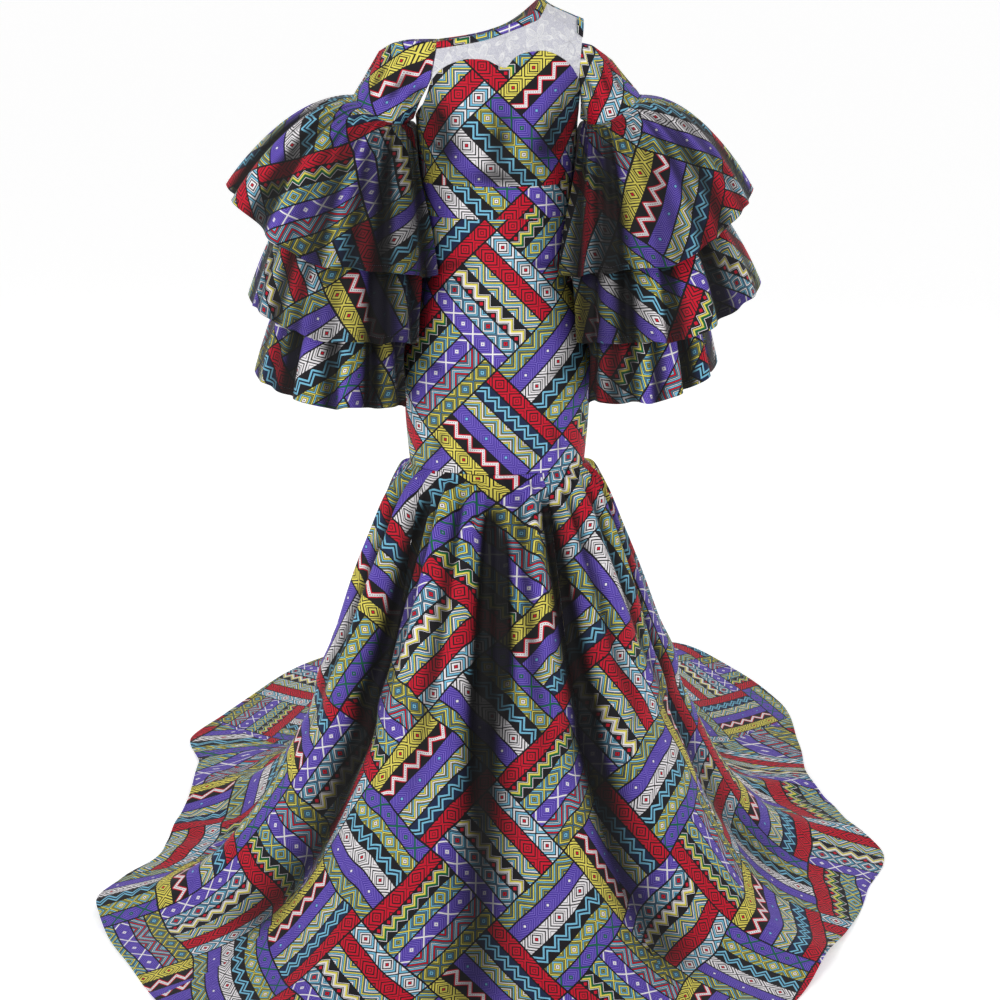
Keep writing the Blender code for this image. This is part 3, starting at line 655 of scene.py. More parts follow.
def smooth(places, values, at):
    """A cubic through the values that doesn't overshoot them, for an array of places."""
    places, values = np.asarray(places, float), np.asarray(values, float)
    at = np.clip(np.asarray(at, float), places[0], places[-1])
    widths = np.diff(places)
    slopes = np.diff(values) / widths
    before, after = slopes[:-1], slopes[1:]
    alike = before * after > 0
    total = np.where(alike, before + after, 1.0)
    inner = np.where(alike, 2 * before * after / total, 0.0)
    tangents = np.concatenate(([slopes[0]], inner, [slopes[-1]]))
    k = np.clip(np.searchsorted(places, at, side="right") - 1, 0, len(places) - 2)
    t = (at - places[k]) / widths[k]
    pull_in, pull_out = tangents[k] * widths[k], tangents[k + 1] * widths[k]
    return (
        values[k] * (2 * t**3 - 3 * t**2 + 1)
        + pull_in * (t**3 - 2 * t**2 + t)
        + values[k + 1] * (3 * t**2 - 2 * t**3)
        + pull_out * (t**3 - t**2)
    )


def row_between(columns, rows, at, places):
    """The named columns of a table, interpolated between its rows."""
    return {name: smooth(places, [row[i] for row in rows], at) for i, name in enumerate(columns)}


def ramp(low, high, at):
    """0 below low, 1 above high, and an even S between."""
    t = np.clip((np.asarray(at, float) - low) / (high - low), 0.0, 1.0)
    return t * t * (3 - 2 * t)


def wrapped(angle):
    """An angle in degrees, brought between -180 and 180."""
    return (angle + 180.0) % 360.0 - 180.0


def bell(angle, centre, spread):
    """A soft bump round an angle, in degrees, that wraps at the back."""
    return np.exp(-((wrapped(angle - centre) / spread) ** 2))


def point(x, y, z):
    """Arrays of coordinates as one array of points."""
    return np.stack(np.broadcast_arrays(x, y, z), axis=-1).astype(float)


def resample(rows, count):
    """A line of values, or an array of lines, at count even steps along its first axis."""
    rows = np.asarray(rows, float)
    steps = np.arange(len(rows))
    at = np.linspace(0, len(rows) - 1, count)
    flat = rows.reshape(len(rows), -1)
    found = np.stack([smooth(steps, flat[:, i], at) for i in range(flat.shape[1])], axis=-1)
    return found.reshape((count,) + rows.shape[1:])


def section(z, ease=EASE):
    """The block's half width and depths at a height, let out by the ease."""
    rows = list(BLOCK.values())
    lift = ease * ramp(*SHOULDER_LIFT, z)
    found = row_between(BLOCK_COLUMNS, rows, z - lift, [row[0] for row in rows])
    return found["half_width"] + ease, found["front"] + ease, found["back"] + ease


def on_block(z, angle, ease=EASE):
    """Points of the block's surface, by height and angle from the front."""
    half_width, front, back = section(z, ease)
    across, ahead = np.sin(np.radians(angle)), np.cos(np.radians(angle))
    cup = np.exp(-(((z - CUP["height"]) / CUP["spread_up"]) ** 2))
    lobes = bell(angle, CUP["angle"], CUP["spread_round"])
    lobes = lobes + bell(angle, -CUP["angle"], CUP["spread_round"])
    depth = np.where(ahead > 0, front + CUP["depth"] * cup * lobes, back)
    return point(half_width * across, -depth * ahead, z)


def across_block(x, z, back=False, ease=EASE):
    """Points of the block's front or back, by place across and height."""
    angle = np.degrees(np.arcsin(np.clip(x / section(z, ease)[0], -1.0, 1.0)))
    return on_block(z, 180.0 - angle if back else angle, ease)


def shoulder_height(x, y, ease=EASE):
    """How high the block's shoulder is at places in plan."""
    low = np.full(np.shape(x), BLOCK["shoulder_tip"][0])
    high = np.full(np.shape(x), BLOCK["neck"][0])
    for _ in range(40):
        z = (low + high) / 2
        half_width, front, back = section(z, ease)
        inside = (x / half_width) ** 2 + (y / np.where(y < 0, front, back)) ** 2 < 1
        low, high = np.where(inside, z, low), np.where(inside, high, z)
    return low


def along(edge, count):
    """Points at even places across an edge that is given by a few of its points."""
    places, heights = zip(*edge)
    x = np.linspace(places[0], places[-1], count + 1)
    return np.stack([x, smooth(places, heights, x)], axis=-1)


def shoulder_line(first, last, count, y):
    """Points across the shoulder at a place from front to back."""
    x = np.linspace(first, last, count + 1)
    return np.stack([x, shoulder_height(x, y)], axis=-1)


def upright_grid(feet, tops, shares, back=False):
    """Rows from the top edge down to the feet, with their places across and heights."""
    shares = np.asarray(shares)[:, None]
    x = tops[:, 0] + (feet[:, 0] - tops[:, 0]) * shares
    z = tops[:, 1] + (feet[:, 1] - tops[:, 1]) * shares
    return across_block(x, z, back), x, z


def side_blend(points, x, z, steps, back):
    """Columns next to the side seams follow the seam's angle at every height."""
    from_side = np.minimum(steps, steps[-1] - steps)[None, :]
    angle = np.copysign(SIDE_SEAM - from_side * SIDE_STEP, x)
    by_angle = on_block(z, 180.0 - angle if back else angle)
    weight = np.clip(2.0 - from_side, 0.0, 1.0)[..., None]
    return points + (by_angle - points) * weight


def lengths(steps):
    """Length of each step between points."""
    return np.linalg.norm(steps, axis=-1)


def unit(directions):
    """Directions, brought to a length of 1."""
    return directions / np.maximum(lengths(directions), 1e-12)[..., None]


def running(steps, axis=0):
    """The sum of the steps up to each place along an axis, from 0."""
    total = np.cumsum(steps, axis=axis)
    return np.concatenate([np.zeros_like(total.take([0], axis=axis)), total], axis=axis)


def joined(points):
    """A closed grid with its first column again at the end."""
    return np.concatenate([points, points[:, :1]], axis=1)


def normals_of(points, closed):
    """Outward directions of a grid whose rows run top to bottom."""
    padded = np.concatenate([points[:, -1:], points, points[:, :1]], axis=1) if closed else points
    across = np.gradient(padded, axis=1)
    across = across[:, 1:-1] if closed else across
    return unit(np.cross(np.gradient(points, axis=0), across))


def panel_cut(points, top, middle):
    """A panel laid flat: rows keep their length across, and columns their length down."""
    across = running(lengths(np.diff(points, axis=1)), 1)
    u = across - across[:, middle:middle + 1]
    run = lengths(np.diff(points, axis=0))
    slip = np.diff(u, axis=0)
    fall = np.sqrt(np.maximum(run**2 - slip**2, (LEAST_FALL * run) ** 2))
    return np.stack([u, top - running(fall)], axis=-1)


def block_cut(points, back):
    """A piece of the bodice or body laid flat: across by the arc round it, down by its profile."""
    x, z = points[..., 0], points[..., 2]
    angle = np.degrees(np.arcsin(np.clip(x / section(z)[0], -1.0, 1.0)))[..., None]
    shares = np.linspace(0.0, 1.0, ARC_STEPS + 1)
    ring = on_block(z[..., None] + 0 * shares, 180.0 - angle * shares if back else angle * shares)
    u = np.sign(x) * lengths(np.diff(ring, axis=-2)).sum(axis=-1)
    heights = np.linspace(BODY_LOW, BLOCK["neck"][0], 10 * ARC_STEPS)
    profile = on_block(heights, np.full(len(heights), 180.0 if back else 0.0))
    v = BODY_LOW + np.interp(z, heights, running(lengths(np.diff(profile, axis=0))))
    return np.stack([-u if back else u, v], axis=-1)


def tube_cut(points):
    """A sleeve laid flat: across by the arc round its middle row, up by each column's length."""
    middle = points[len(points) // 2]
    across = running(lengths(np.diff(middle, axis=0)))
    rise = running(lengths(np.diff(points, axis=0))[::-1])[::-1]
    return np.stack(
        np.broadcast_arrays(across - across[-1] / 2, points[-1, :, 2].min() + rise), axis=-1
    )


def gathered_cut(points, top, least):
    """A gathered strip laid flat: a row is at least a share of the hem wide before gathering."""
    round_it = lengths(np.diff(points, axis=1))
    total = round_it.sum(axis=1)
    width = np.maximum(total, least * total[-1])
    share = running(round_it, 1) / total[:, None] - 0.5
    v = top - running(lengths(np.diff(points, axis=0)).mean(axis=1))
    return np.stack(np.broadcast_arrays(share * width[:, None], v[:, None]), axis=-1)


def gore_cut(points, angles, upright):
    """A gore laid flat, fanned out as far as it flares, with the print upright at one angle."""
    run = lengths(np.diff(points, axis=0))
    radius = np.hypot(points[..., 0], points[..., 1]).mean(axis=1)
    flare = np.clip(np.diff(radius) / run.mean(axis=1), 0.0, 1.0)
    even = (radius[-1] - radius[0]) / run.mean(axis=1).sum()
    flare = even + (flare - even) * FLARE_FOLLOWED
    turn = np.radians(angles - upright)
    lean = turn[None, :] * flare[:, None]
    u = radius[0] * turn + running(np.sin(lean) * run)
    return np.stack([u, FLARE_SEAM - running(np.cos(lean) * run)], axis=-1)


def creased(points, uv, table, closed=False):
    """The grid with creases pressed in, and how deep each place lies in one."""
    depth = np.zeros(points.shape[:2])
    for crease in table:
        c = dict(zip(CREASE_COLUMNS, crease))
        line = np.array([c["u2"] - c["u1"], c["v2"] - c["v1"]])
        size = float(line @ line)
        offset = uv[:, :points.shape[1]] - np.array([c["u1"], c["v1"]])
        share = np.clip((offset @ line) / size, 0.0, 1.0)
        away = lengths(offset - share[..., None] * line)
        whole = ramp(0.0, 0.35, share) * (1 - ramp(0.65, 1.0, share))
        ends = whole * (1 - CREASE_END) + CREASE_END
        depth += c["depth"] * np.exp(-((away / c["half_width"]) ** 2)) * ends
    return points - normals_of(points, closed) * depth[..., None], depth


def activate(piece):
    """Make a piece the only selected one."""
    for other in bpy.context.selected_objects:
        other.select_set(False)
    piece.select_set(True)
    bpy.context.view_layer.objects.active = piece


def grid_mesh(name, points, uv, fold, closed):
    """A mesh of quads through a grid of points, with its flat cut as UV map and its painted shade.
    """
    rows, columns = points.shape[:2]
    across = columns if closed else columns - 1
    i, j = np.meshgrid(np.arange(rows - 1), np.arange(across), indexing="ij")
    right = (j + 1) % columns
    corners = [i * columns + j, (i + 1) * columns + j, (i + 1) * columns + right,
               i * columns + right]
    faces = np.stack(corners, axis=-1).reshape(-1, 4)
    hung = points.copy()
    hung[..., 2] -= SHOULDER_HEIGHT
    mesh = bpy.data.meshes.new(name)
    mesh.from_pydata(hung.reshape(-1, 3).tolist(), [], faces.tolist())
    places = np.stack([uv[i, j], uv[i + 1, j], uv[i + 1, j + 1], uv[i, j + 1]], axis=2)
    layer = mesh.uv_layers.new(name="cut")
    layer.data.foreach_set("uv", places.ravel())
    # The fold attribute carries the shade painted into the cloth's colour
    depth = mesh.attributes.new("fold", "FLOAT", "POINT")
    depth.data.foreach_set("value", np.clip(fold, 0.0, 1.0).ravel())
    return mesh


def shell(name, points, uv, finishes, fold=None, closed=False):
    """A thin wall of cloth whose outer side is the grid."""
    if fold is None:
        fold = np.zeros(points.shape[:2])
    mesh = grid_mesh(name, points, uv, fold, closed)
    piece = bpy.data.objects.new(name, mesh)
    bpy.context.scene.collection.objects.link(piece)
    for finish in finishes:
        mesh.materials.append(finish)
    wall = piece.modifiers.new("cloth wall", "SOLIDIFY")
    wall.thickness = bpy.context.scene.dress_sizes.shell
    wall.offset = -1.0
    wall.material_offset = len(finishes) - 1
    wall.material_offset_rim = 0
    activate(piece)
    bpy.ops.object.modifier_apply(modifier=wall.name)
    piece.data.shade_smooth()
    piece.data.set_sharp_from_angle(angle=math.radians(55.0))
    return piece


def dress_node(node, points, uv, fold=None, slot="wax_print", closed=False):
    """Replace a solid by its shell, with its flat cut as UV map and its painted shade."""
    finishes = lace_finishes() if slot == "white_lace" else cloth_finishes()
    piece = shell(f"{node}_cloth", points, uv, finishes, fold, closed)
    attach(piece, "root")
    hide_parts(node)


class Graph:
    """Short words for the nodes of one material."""

    def __init__(self, name):
        self.material = bpy.data.materials.new(name)
        self.material.use_nodes = True
        self.tree = self.material.node_tree
        self.shader = self.tree.nodes["Principled BSDF"]

    def node(self, kind, **settings):
        made = self.tree.nodes.new(kind)
        for name, value in settings.items():
            setattr(made, name, value)
        return made

    def put(self, socket, value):
        if isinstance(value, bpy.types.NodeSocket):
            self.tree.links.new(value, socket)
        else:
            socket.default_value = value

    def math(self, operation, *values, use_clamp=False):
        made = self.node("ShaderNodeMath", operation=operation, use_clamp=use_clamp)
        for socket, value in zip(made.inputs, values):
            self.put(socket, value)
        return made.outputs[0]

    def mix(self, share, first, second, blend="MIX"):
        made = self.node("ShaderNodeMix", data_type="RGBA", blend_type=blend)
        self.put(made.inputs["Factor"], share)
        for socket, value in zip((made.inputs[6], made.inputs[7]), (first, second)):
            self.put(socket, value if isinstance(value, bpy.types.NodeSocket) else rgba(value))
        return made.outputs[2]

    def choose(self, share, first, second):
        """The second number where share is 1 and the first where it is 0."""
        made = self.node("ShaderNodeMix", data_type="FLOAT")
        self.put(made.inputs[0], share)
        self.put(made.inputs[2], first)
        self.put(made.inputs[3], second)
        return made.outputs[0]

    def steps(self, at, stops):
        """Flat colours in a row, each from its place on."""
        made = self.node("ShaderNodeValToRGB")
        band = made.color_ramp
        band.interpolation = "CONSTANT"
        while len(band.elements) < len(stops):
            band.elements.new(0.5)
        for element, (place, colour) in zip(band.elements, stops):
            element.position = place
            element.color = rgba(colour)
        self.put(made.inputs[0], at)
        return made.outputs[0]

    def split(self, vector):
        made = self.node("ShaderNodeSeparateXYZ")
        self.put(made.inputs[0], vector)
        return made.outputs[0], made.outputs[1]

    def cells(self, vector, scale, feature):
        made = self.node("ShaderNodeTexVoronoi", feature=feature)
        self.put(made.inputs["Vector"], vector)
        self.put(made.inputs["Scale"], scale)
        return made

    def uneven(self, vector, scale, detail, spread, least):
        """A noise that goes from the least value up by the spread."""
        return self.math("MULTIPLY_ADD", self.noise(vector, scale, detail), spread, least)

    def noise(self, vector, scale, detail):
        made = self.node("ShaderNodeTexNoise")
        self.put(made.inputs["Vector"], vector)
        self.put(made.inputs["Scale"], scale)
        self.put(made.inputs["Detail"], detail)
        return made.outputs[0]

    def bump(self, height, distance, strength, below=None):
        made = self.node("ShaderNodeBump")
        self.put(made.inputs["Height"], height)
        self.put(made.inputs["Distance"], distance)
        self.put(made.inputs["Strength"], strength)
        if below is not None:
            self.put(made.inputs["Normal"], below)
        return made.outputs[0]


def rgba(colour):
    """A colour or a single number as four channels."""
    if isinstance(colour, (int, float)):
        return (colour, colour, colour, 1.0)
    return (*tuple(colour)[:3], 1.0)


def strip_lookup(graph, kind, column):
    """One column of the strips' table as a row of flat values, looked up by the strip's kind."""
    stops = []
    for n, strip in enumerate(STRIPS):
        value = strip[STRIP_COLUMNS.index(column)]
        if column == "form":
            value = form_number(value)
        elif column == "repeats":
            value = value / MOST_REPEATS
        else:
            value = INKS[value]
        stops.append((n / len(STRIPS), value))
    return graph.steps(kind, stops)


def form_number(form, step=0.0):
    """A form's number from 0 to 1, or a place a share of a step past it."""
    return (list(FORMS).index(form) + step) / (len(FORMS) - 1)


def is_form(graph, form, word):
    """1 where the form is this one."""
    return graph.math("MULTIPLY", graph.math("GREATER_THAN", form, form_number(word, -0.5)),
                      graph.math("LESS_THAN", form, form_number(word, 0.5)))


def band_ink(graph, form, field):
    """Which ink the form puts at a place, from 0 to 1 in the order of the ink letters."""
    at = graph.math("DIVIDE", graph.math("SUBTRACT", field, BAND_FIRST), BAND_RANGE)
    letters = list(BAND_INKS)
    chosen = None
    for word, (first, bands) in FORMS.items():
        stops = [
            ((first + n * BAND_CELL - BAND_FIRST) / BAND_RANGE, letters.index(ink) / len(letters))
            for n, ink in enumerate(bands) if n == 0 or bands[n - 1] != ink
        ]
        found = graph.steps(at, stops)
        if chosen is None:
            chosen = found
        else:
            reached = graph.math("GREATER_THAN", form, form_number(word, -0.5))
            chosen = graph.choose(reached, chosen, found)
    return chosen


def print_pattern(graph, uv):
    """The print's colour: blocks of strips set crosswise, each strip with its own motif."""
    sizes = bpy.context.scene.dress_sizes
    placed = graph.node("ShaderNodeMapping")
    graph.put(placed.inputs["Vector"], uv)
    placed.inputs["Rotation"].default_value = (0.0, 0.0, math.radians(45.0))
    placed.inputs["Scale"].default_value = (1.0 / sizes.block, 1.0 / sizes.block, 1.0)
    x, y = graph.split(placed.outputs[0])
    column, row = graph.math("FLOOR", x), graph.math("FLOOR", y)
    in_x, in_y = graph.math("FRACT", x), graph.math("FRACT", y)
    crosswise = graph.math("FLOORED_MODULO", graph.math("ADD", column, row), 2.0)
    along_strip = graph.choose(crosswise, in_y, in_x)
    over_strips = graph.math("MULTIPLY", graph.choose(crosswise, in_x, in_y), float(sizes.strips))
    block = graph.math("MULTIPLY_ADD", row, 2.0, column)
    block = graph.math("FLOORED_MODULO", block, float(BLOCK_KINDS))
    strip = graph.math("MULTIPLY_ADD", block, float(sizes.strips), graph.math("FLOOR", over_strips))
    kind = graph.math("DIVIDE", graph.math("ADD", strip, 0.5), float(len(STRIPS)))

    across = graph.math("SUBTRACT", graph.math("FRACT", over_strips), 0.5)
    from_middle = graph.math("ABSOLUTE", across)
    repeats = graph.math("MULTIPLY", strip_lookup(graph, kind, "repeats"), MOST_REPEATS)
    in_motif = graph.math("FRACT", graph.math("MULTIPLY", along_strip, repeats))
    from_motif = graph.math("ABSOLUTE", graph.math("SUBTRACT", in_motif, 0.5))
    pitch = graph.math("DIVIDE", float(sizes.strips), repeats)
    from_motif = graph.math("MULTIPLY", from_motif, pitch)

    form = strip_lookup(graph, kind, "form")
    is_open = graph.math("GREATER_THAN", form, form_number(FIRST_OPEN_FORM, -0.5))
    field = graph.math("ADD", graph.choose(is_open, from_middle, across), from_motif)
    ink = band_ink(graph, form, field)
    names = list(BAND_INKS.values())
    inks = [strip_lookup(graph, kind, name) for name in names[:-1]] + [INKS[names[-1]]]
    colour = inks[0]
    for k, other in enumerate(inks[1:]):
        reached = graph.math("GREATER_THAN", ink, (k + 0.5) / len(inks))
        colour = graph.mix(reached, colour, other)

    along_widths = graph.math("MULTIPLY", along_strip, float(sizes.strips))
    rising = graph.math("FLOOR", graph.math("DIVIDE", graph.math("ADD", across, along_widths), DOT))
    falling = graph.math(
        "FLOOR", graph.math("DIVIDE", graph.math("SUBTRACT", across, along_widths), DOT)
    )
    gap = graph.math("FLOORED_MODULO", graph.math("ADD", rising, falling), 2.0)
    on_line = graph.math("COMPARE", ink, 1.0 / len(inks), 0.5 / len(inks))
    dotted = graph.math("MULTIPLY", is_form(graph, form, "ribbon"), on_line)
    colour = graph.mix(graph.math("MULTIPLY", dotted, gap), colour, inks[0])

    between = graph.math("SUBTRACT", graph.math("MULTIPLY", pitch, 0.5), from_motif)
    slant = graph.math("ABSOLUTE", graph.math("SUBTRACT", from_middle, between))
    on_cross = graph.math("LESS_THAN", slant, CROSS_HALF)
    on_cross = graph.math("MULTIPLY", on_cross, is_form(graph, form, "crosses"))
    colour = graph.mix(on_cross, colour, inks[names.index("accent")])
    from_bead = graph.math("ABSOLUTE", graph.math("SUBTRACT", across, BEAD["across"]))
    on_bead = graph.math("LESS_THAN", graph.math("ADD", from_bead, from_motif), BEAD["half"])
    on_bead = graph.math("MULTIPLY", on_bead, is_form(graph, form, "staircase"))
    colour = graph.mix(on_bead, colour, INKS["red"])

    edge = graph.math("GREATER_THAN", from_middle, STRIP_EDGE)
    from_end = graph.math("ABSOLUTE", graph.math("SUBTRACT", along_strip, 0.5))
    end = graph.math("GREATER_THAN", from_end, 0.5 - BLOCK_EDGE)
    return graph.mix(graph.math("MAXIMUM", edge, end), colour, INKS["black"])


def weave_height(graph, uv):
    """Plain weave: threads that pass over and under each other."""
    turns_a_metre = 2 * math.pi / THREAD
    warp, weft = [
        graph.math("SINE", graph.math("MULTIPLY", way, turns_a_metre)) for way in graph.split(uv)
    ]
    return graph.math("MULTIPLY", warp, weft)


def print_material(name, faded):
    """Wax-printed cotton: crisp inks, a plain weave, a slight sheen, and shade painted into its
    folds.
    """
    found = bpy.data.materials.get(name)
    if found:
        return found
    graph = Graph(name)
    uv = graph.node("ShaderNodeUVMap", uv_map="cut").outputs[0]
    colour = print_pattern(graph, uv)
    if faded:
        colour = graph.mix(REVERSE_FADE, colour, REVERSE_COLOUR)
    colour = graph.mix(1.0, colour, graph.uneven(uv, *INK_NOISE), "MULTIPLY")
    # The fold attribute is painted shade: it darkens the colour in folds, creases and near the
    # ruffles
    fold = graph.node("ShaderNodeAttribute", attribute_name="fold").outputs["Fac"]
    light = graph.math("SUBTRACT", 1.0, graph.math("MULTIPLY", fold, PAINTED_FOLD_DARKNESS))
    colour = graph.mix(1.0, colour, graph.math("POWER", light, SHADE_CURVE), "MULTIPLY")
    graph.put(graph.shader.inputs["Base Color"], colour)
    graph.put(graph.shader.inputs["Roughness"], graph.uneven(uv, *ROUGH_NOISE))
    graph.shader.inputs["Specular IOR Level"].default_value = 0.22
    graph.shader.inputs["Sheen Weight"].default_value = 0.03
    graph.shader.inputs["Sheen Roughness"].default_value = 0.5
    soft = graph.bump(graph.noise(uv, *SOFT_NOISE), SOFT_RISE, 0.5)
    woven = graph.bump(weave_height(graph, uv), WEAVE_RISE, 0.5, soft)
    graph.put(graph.shader.inputs["Normal"], woven)
    return graph.material


def lace_material(name):
    """White lace: raised flowers and leaves on a fine net, over a plain backing."""
    found = bpy.data.materials.get(name)
    if found:
        return found
    inks = bpy.context.scene.dress_inks
    graph = Graph(name)
    uv = graph.node("ShaderNodeUVMap", uv_map="cut").outputs[0]
    flower, leaf = [petals(graph, uv, *kind) for kind in PETAL_KINDS]
    raised = graph.math("MAXIMUM", flower, graph.math("MULTIPLY", leaf, LEAF_RISE))
    cells = graph.cells(uv, NET_CELLS, "DISTANCE_TO_EDGE")
    net = graph.math("LESS_THAN", cells.outputs["Distance"], NET["line"])
    white = graph.math("MULTIPLY", net, NET["white"])
    colour = graph.mix(white, tuple(inks.net), tuple(inks.lace))
    colour = graph.mix(raised, colour, tuple(inks.lace))
    graph.put(graph.shader.inputs["Base Color"], colour)
    graph.shader.inputs["Roughness"].default_value = 0.8
    graph.shader.inputs["Sheen Weight"].default_value = 0.1
    relief = graph.math("ADD", raised, graph.math("MULTIPLY", net, NET["rise"]))
    graph.put(graph.shader.inputs["Normal"], graph.bump(relief, LACE_RISE, 0.9))
    return graph.material


def petals(graph, uv, scale, count, reach):
    """Small flowers scattered over the cloth, 1 on a petal and 0 between."""
    cells = graph.cells(uv, scale, "F1")
    cells.inputs["Randomness"].default_value = PETALS["scatter"]
    away = graph.node("ShaderNodeVectorMath", operation="SUBTRACT")
    graph.put(away.inputs[0], uv)
    graph.put(away.inputs[1], cells.outputs["Position"])
    x, y = graph.split(away.outputs[0])
    turn = graph.math("ARCTAN2", y, x)
    lobes = graph.math("COSINE", graph.math("MULTIPLY", turn, count))
    edge = graph.math("MULTIPLY_ADD", lobes, PETALS["lobes"] * reach, reach)
    inside = graph.math("SUBTRACT", edge, cells.outputs["Distance"])
    outline = graph.math("SUBTRACT", PETALS["outline"], graph.math("ABSOLUTE", inside))
    filled = graph.math("MULTIPLY", graph.math("GREATER_THAN", inside, 0.0), PETALS["filled"])
    sharp = graph.math("MULTIPLY", outline, PETALS["sharpness"], use_clamp=True)
    return graph.math("MAXIMUM", sharp, filled)


def plain_material(name, colour, roughness):
    """A plain finish with a little unevenness."""
    found = bpy.data.materials.get(name)
    if found:
        return found
    graph = Graph(name)
    place = graph.node("ShaderNodeTexCoord").outputs["Object"]
    uneven = graph.mix(1.0, tuple(colour), graph.uneven(place, *PLAIN_NOISE), "MULTIPLY")
    graph.put(graph.shader.inputs["Base Color"], uneven)
    graph.shader.inputs["Roughness"].default_value = roughness
    return graph.material


def cloth_finishes():
    """The print's face and, on the inside, its paler reverse."""
    return [print_material("wax_print_face", False), print_material("wax_print_reverse", True)]


def lace_finishes():
    """The lace alone, on both sides."""
    return [lace_material("floral_lace")]


def thread_finish():
    """The dark sewing thread."""
    return plain_material("sewing_thread", bpy.context.scene.dress_inks.thread, 0.6)


def fold_shade(depth, points=None):
    """The painted shade at a place, from its depth in a crease and how near the body's sides it
    lies.
    """
    shade = np.clip(depth / DARKEST_CREASE, 0.0, 1.0)
    if points is not None:
        x, z = np.abs(points[..., 0]), points[..., 2]
        near_side = ramp(*SIDE_SHADE_ACROSS, x / section(z)[0]) * ramp(*SIDE_SHADE_RISE, z)
        shade = shade + SIDE_SHADE * near_side * (1 - shade)
    return shade


def body_grid(first, last, top, low, steps):
    """A stretch of the fitted body between two angles and two heights."""
    rows, columns = steps
    heights = np.linspace(top, low, rows + 1)[:, None]
    angles = np.linspace(first, last, columns + 1)[None, :]
    return on_block(heights + 0 * angles, angles + 0 * heights)


def bodice_tops(back):
    """The bodice panel's upper edge, from the right underarm to the left."""
    if not back:
        middle = along(SWEETHEART, YOKE_STEPS)
        return np.array(list(ARMHOLE_RIGHT[::-1]) + middle.tolist() + list(ARMHOLE_LEFT))
    strap = shoulder_line(NECK_POINT, SHOULDER_POINT, STRAP_STEPS, STRAP_HALF + STRAP_SEAM)
    tops = list(ARMHOLE_RIGHT[::-1]) + BACK_RISE + back_neckline().tolist()
    return np.array(tops + strap[1:].tolist() + BACK_DROP + list(ARMHOLE_LEFT))


def back_neckline():
    """The back's neckline, from the right armhole rising to the strap."""
    start_x, start_z = BACK_CORNER
    end_x, end_z = shoulder_line(NECK_POINT, NECK_POINT, 1, STRAP_HALF + STRAP_SEAM)[0]
    t = np.linspace(0.0, 1.0, NECKLINE_STEPS + 1)
    rise = NECKLINE_STRAIGHT * t + (1.0 - NECKLINE_STRAIGHT) * t**3
    return np.stack([start_x + (end_x - start_x) * t, start_z + (end_z - start_z) * rise], axis=-1)


def bodice_grid(back):
    """The bodice's front or back panel, from the band up to the armholes and neckline."""
    rows, columns = SHELL_STEPS["bodice"]
    tops = bodice_tops(back)
    half_width = section(BAND_TOP)[0] - SEAM
    steps = np.linspace(0, len(tops) - 1, columns + 1)
    angles = np.linspace(-90.0, 90.0, columns + 1)
    feet = np.stack([half_width * np.sin(np.radians(angles)), np.full(columns + 1, BAND_TOP)], -1)
    fine = resample(tops, columns + 1)
    points, x, z = upright_grid(feet, fine, np.linspace(0.0, 1.0, rows + 1), back)
    points = side_blend(points, x, z, steps, back)
    return points[:, ::-1] if back else points


def yoke_grid(shares, columns):
    """The lace yoke between the sweetheart edge and the neckline."""
    feet = along(SWEETHEART, YOKE_STEPS) + np.array([0.0, SEAM])
    strap = shoulder_line(NECK_POINT, SHOULDER_POINT, STRAP_STEPS, -STRAP_HALF - STRAP_SEAM)
    neck = along(YOKE_TOP + (tuple(strap[0]),), YOKE_STEPS - STRAP_STEPS)
    tops = np.concatenate([neck, strap[1:]])
    if columns:
        feet, tops = resample(feet, columns + 1), resample(tops, columns + 1)
    return upright_grid(feet, tops, shares)[0]


def crowned(points, rise):
    """A strip whose middle stands up a little between its sewn edges, by rows."""
    share = np.linspace(0.0, 1.0, len(points))[:, None]
    crown = (4 * share * (1 - share)) ** 0.5 * rise
    return points + normals_of(points, False) * crown[..., None]


def beside_neckline(edge, y, offset, back):
    """A line beside a neckline: above it at its low end, and inward of it at the strap."""
    (_, corner_z), (_, end_z) = shoulder_line(NECK_POINT, NECK_POINT - offset, 1, y)
    lean = ramp(0.55, 1.0, np.linspace(0.0, 1.0, len(edge)))
    rise = offset + (end_z - corner_z - offset) * lean
    return across_block(edge[:, 0] - offset * lean, edge[:, 1] + rise, back)


def neck_binding_grid(back):
    """The strip along the neckline, front or back."""
    y = STRAP_HALF + STRAP_SEAM
    if back:
        edge = back_neckline()
    else:
        y = -y
        start = shoulder_line(NECK_POINT, NECK_POINT, 1, y)[0]
        edge = along(YOKE_TOP + (tuple(start),), YOKE_STEPS - STRAP_STEPS)
    rows, columns = SHELL_STEPS["binding"]
    fine = resample(edge, columns + 1)
    offsets = np.linspace(BINDING_WIDTH, SEAM, rows + 1)
    points = np.stack([beside_neckline(fine, y, offset, back) for offset in offsets])
    return points[:, ::-1] if back else points


def armhole_strip_grid():
    """The strip on the yoke's outer edge, from the strap down to the sleeve."""
    yoke = yoke_grid(YOKE_SHARES, 0)
    inside, outside = yoke[:, -2], yoke[:, -1]
    down = np.stack([outside[1] - outside[0], outside[2] - outside[0], outside[2] - outside[1]])
    out = unit(np.cross(down, outside - inside)) * (CLOTH + STRIP_AIR)
    width = unit(outside - inside) * BINDING_WIDTH
    rows, columns = SHELL_STEPS["armhole_strip"]
    edges = resample(np.stack([outside - width + out, outside + out], axis=1), rows + 1)
    share = np.linspace(0.0, 1.0, columns + 1)[None, :, None]
    return edges[:, :1] + (edges[:, 1:] - edges[:, :1]) * share


def strap_grid():
    """The strap that lies over the shoulder, from the back to the front."""
    rows, columns = SHELL_STEPS["strap"]
    y = np.linspace(STRAP_HALF, -STRAP_HALF, rows + 1)[:, None]
    x = np.linspace(NECK_POINT - BINDING_WIDTH, SHOULDER_POINT, columns + 1)[None, :]
    x, y = np.broadcast_arrays(x, y)
    return point(x, y, shoulder_height(x, y))


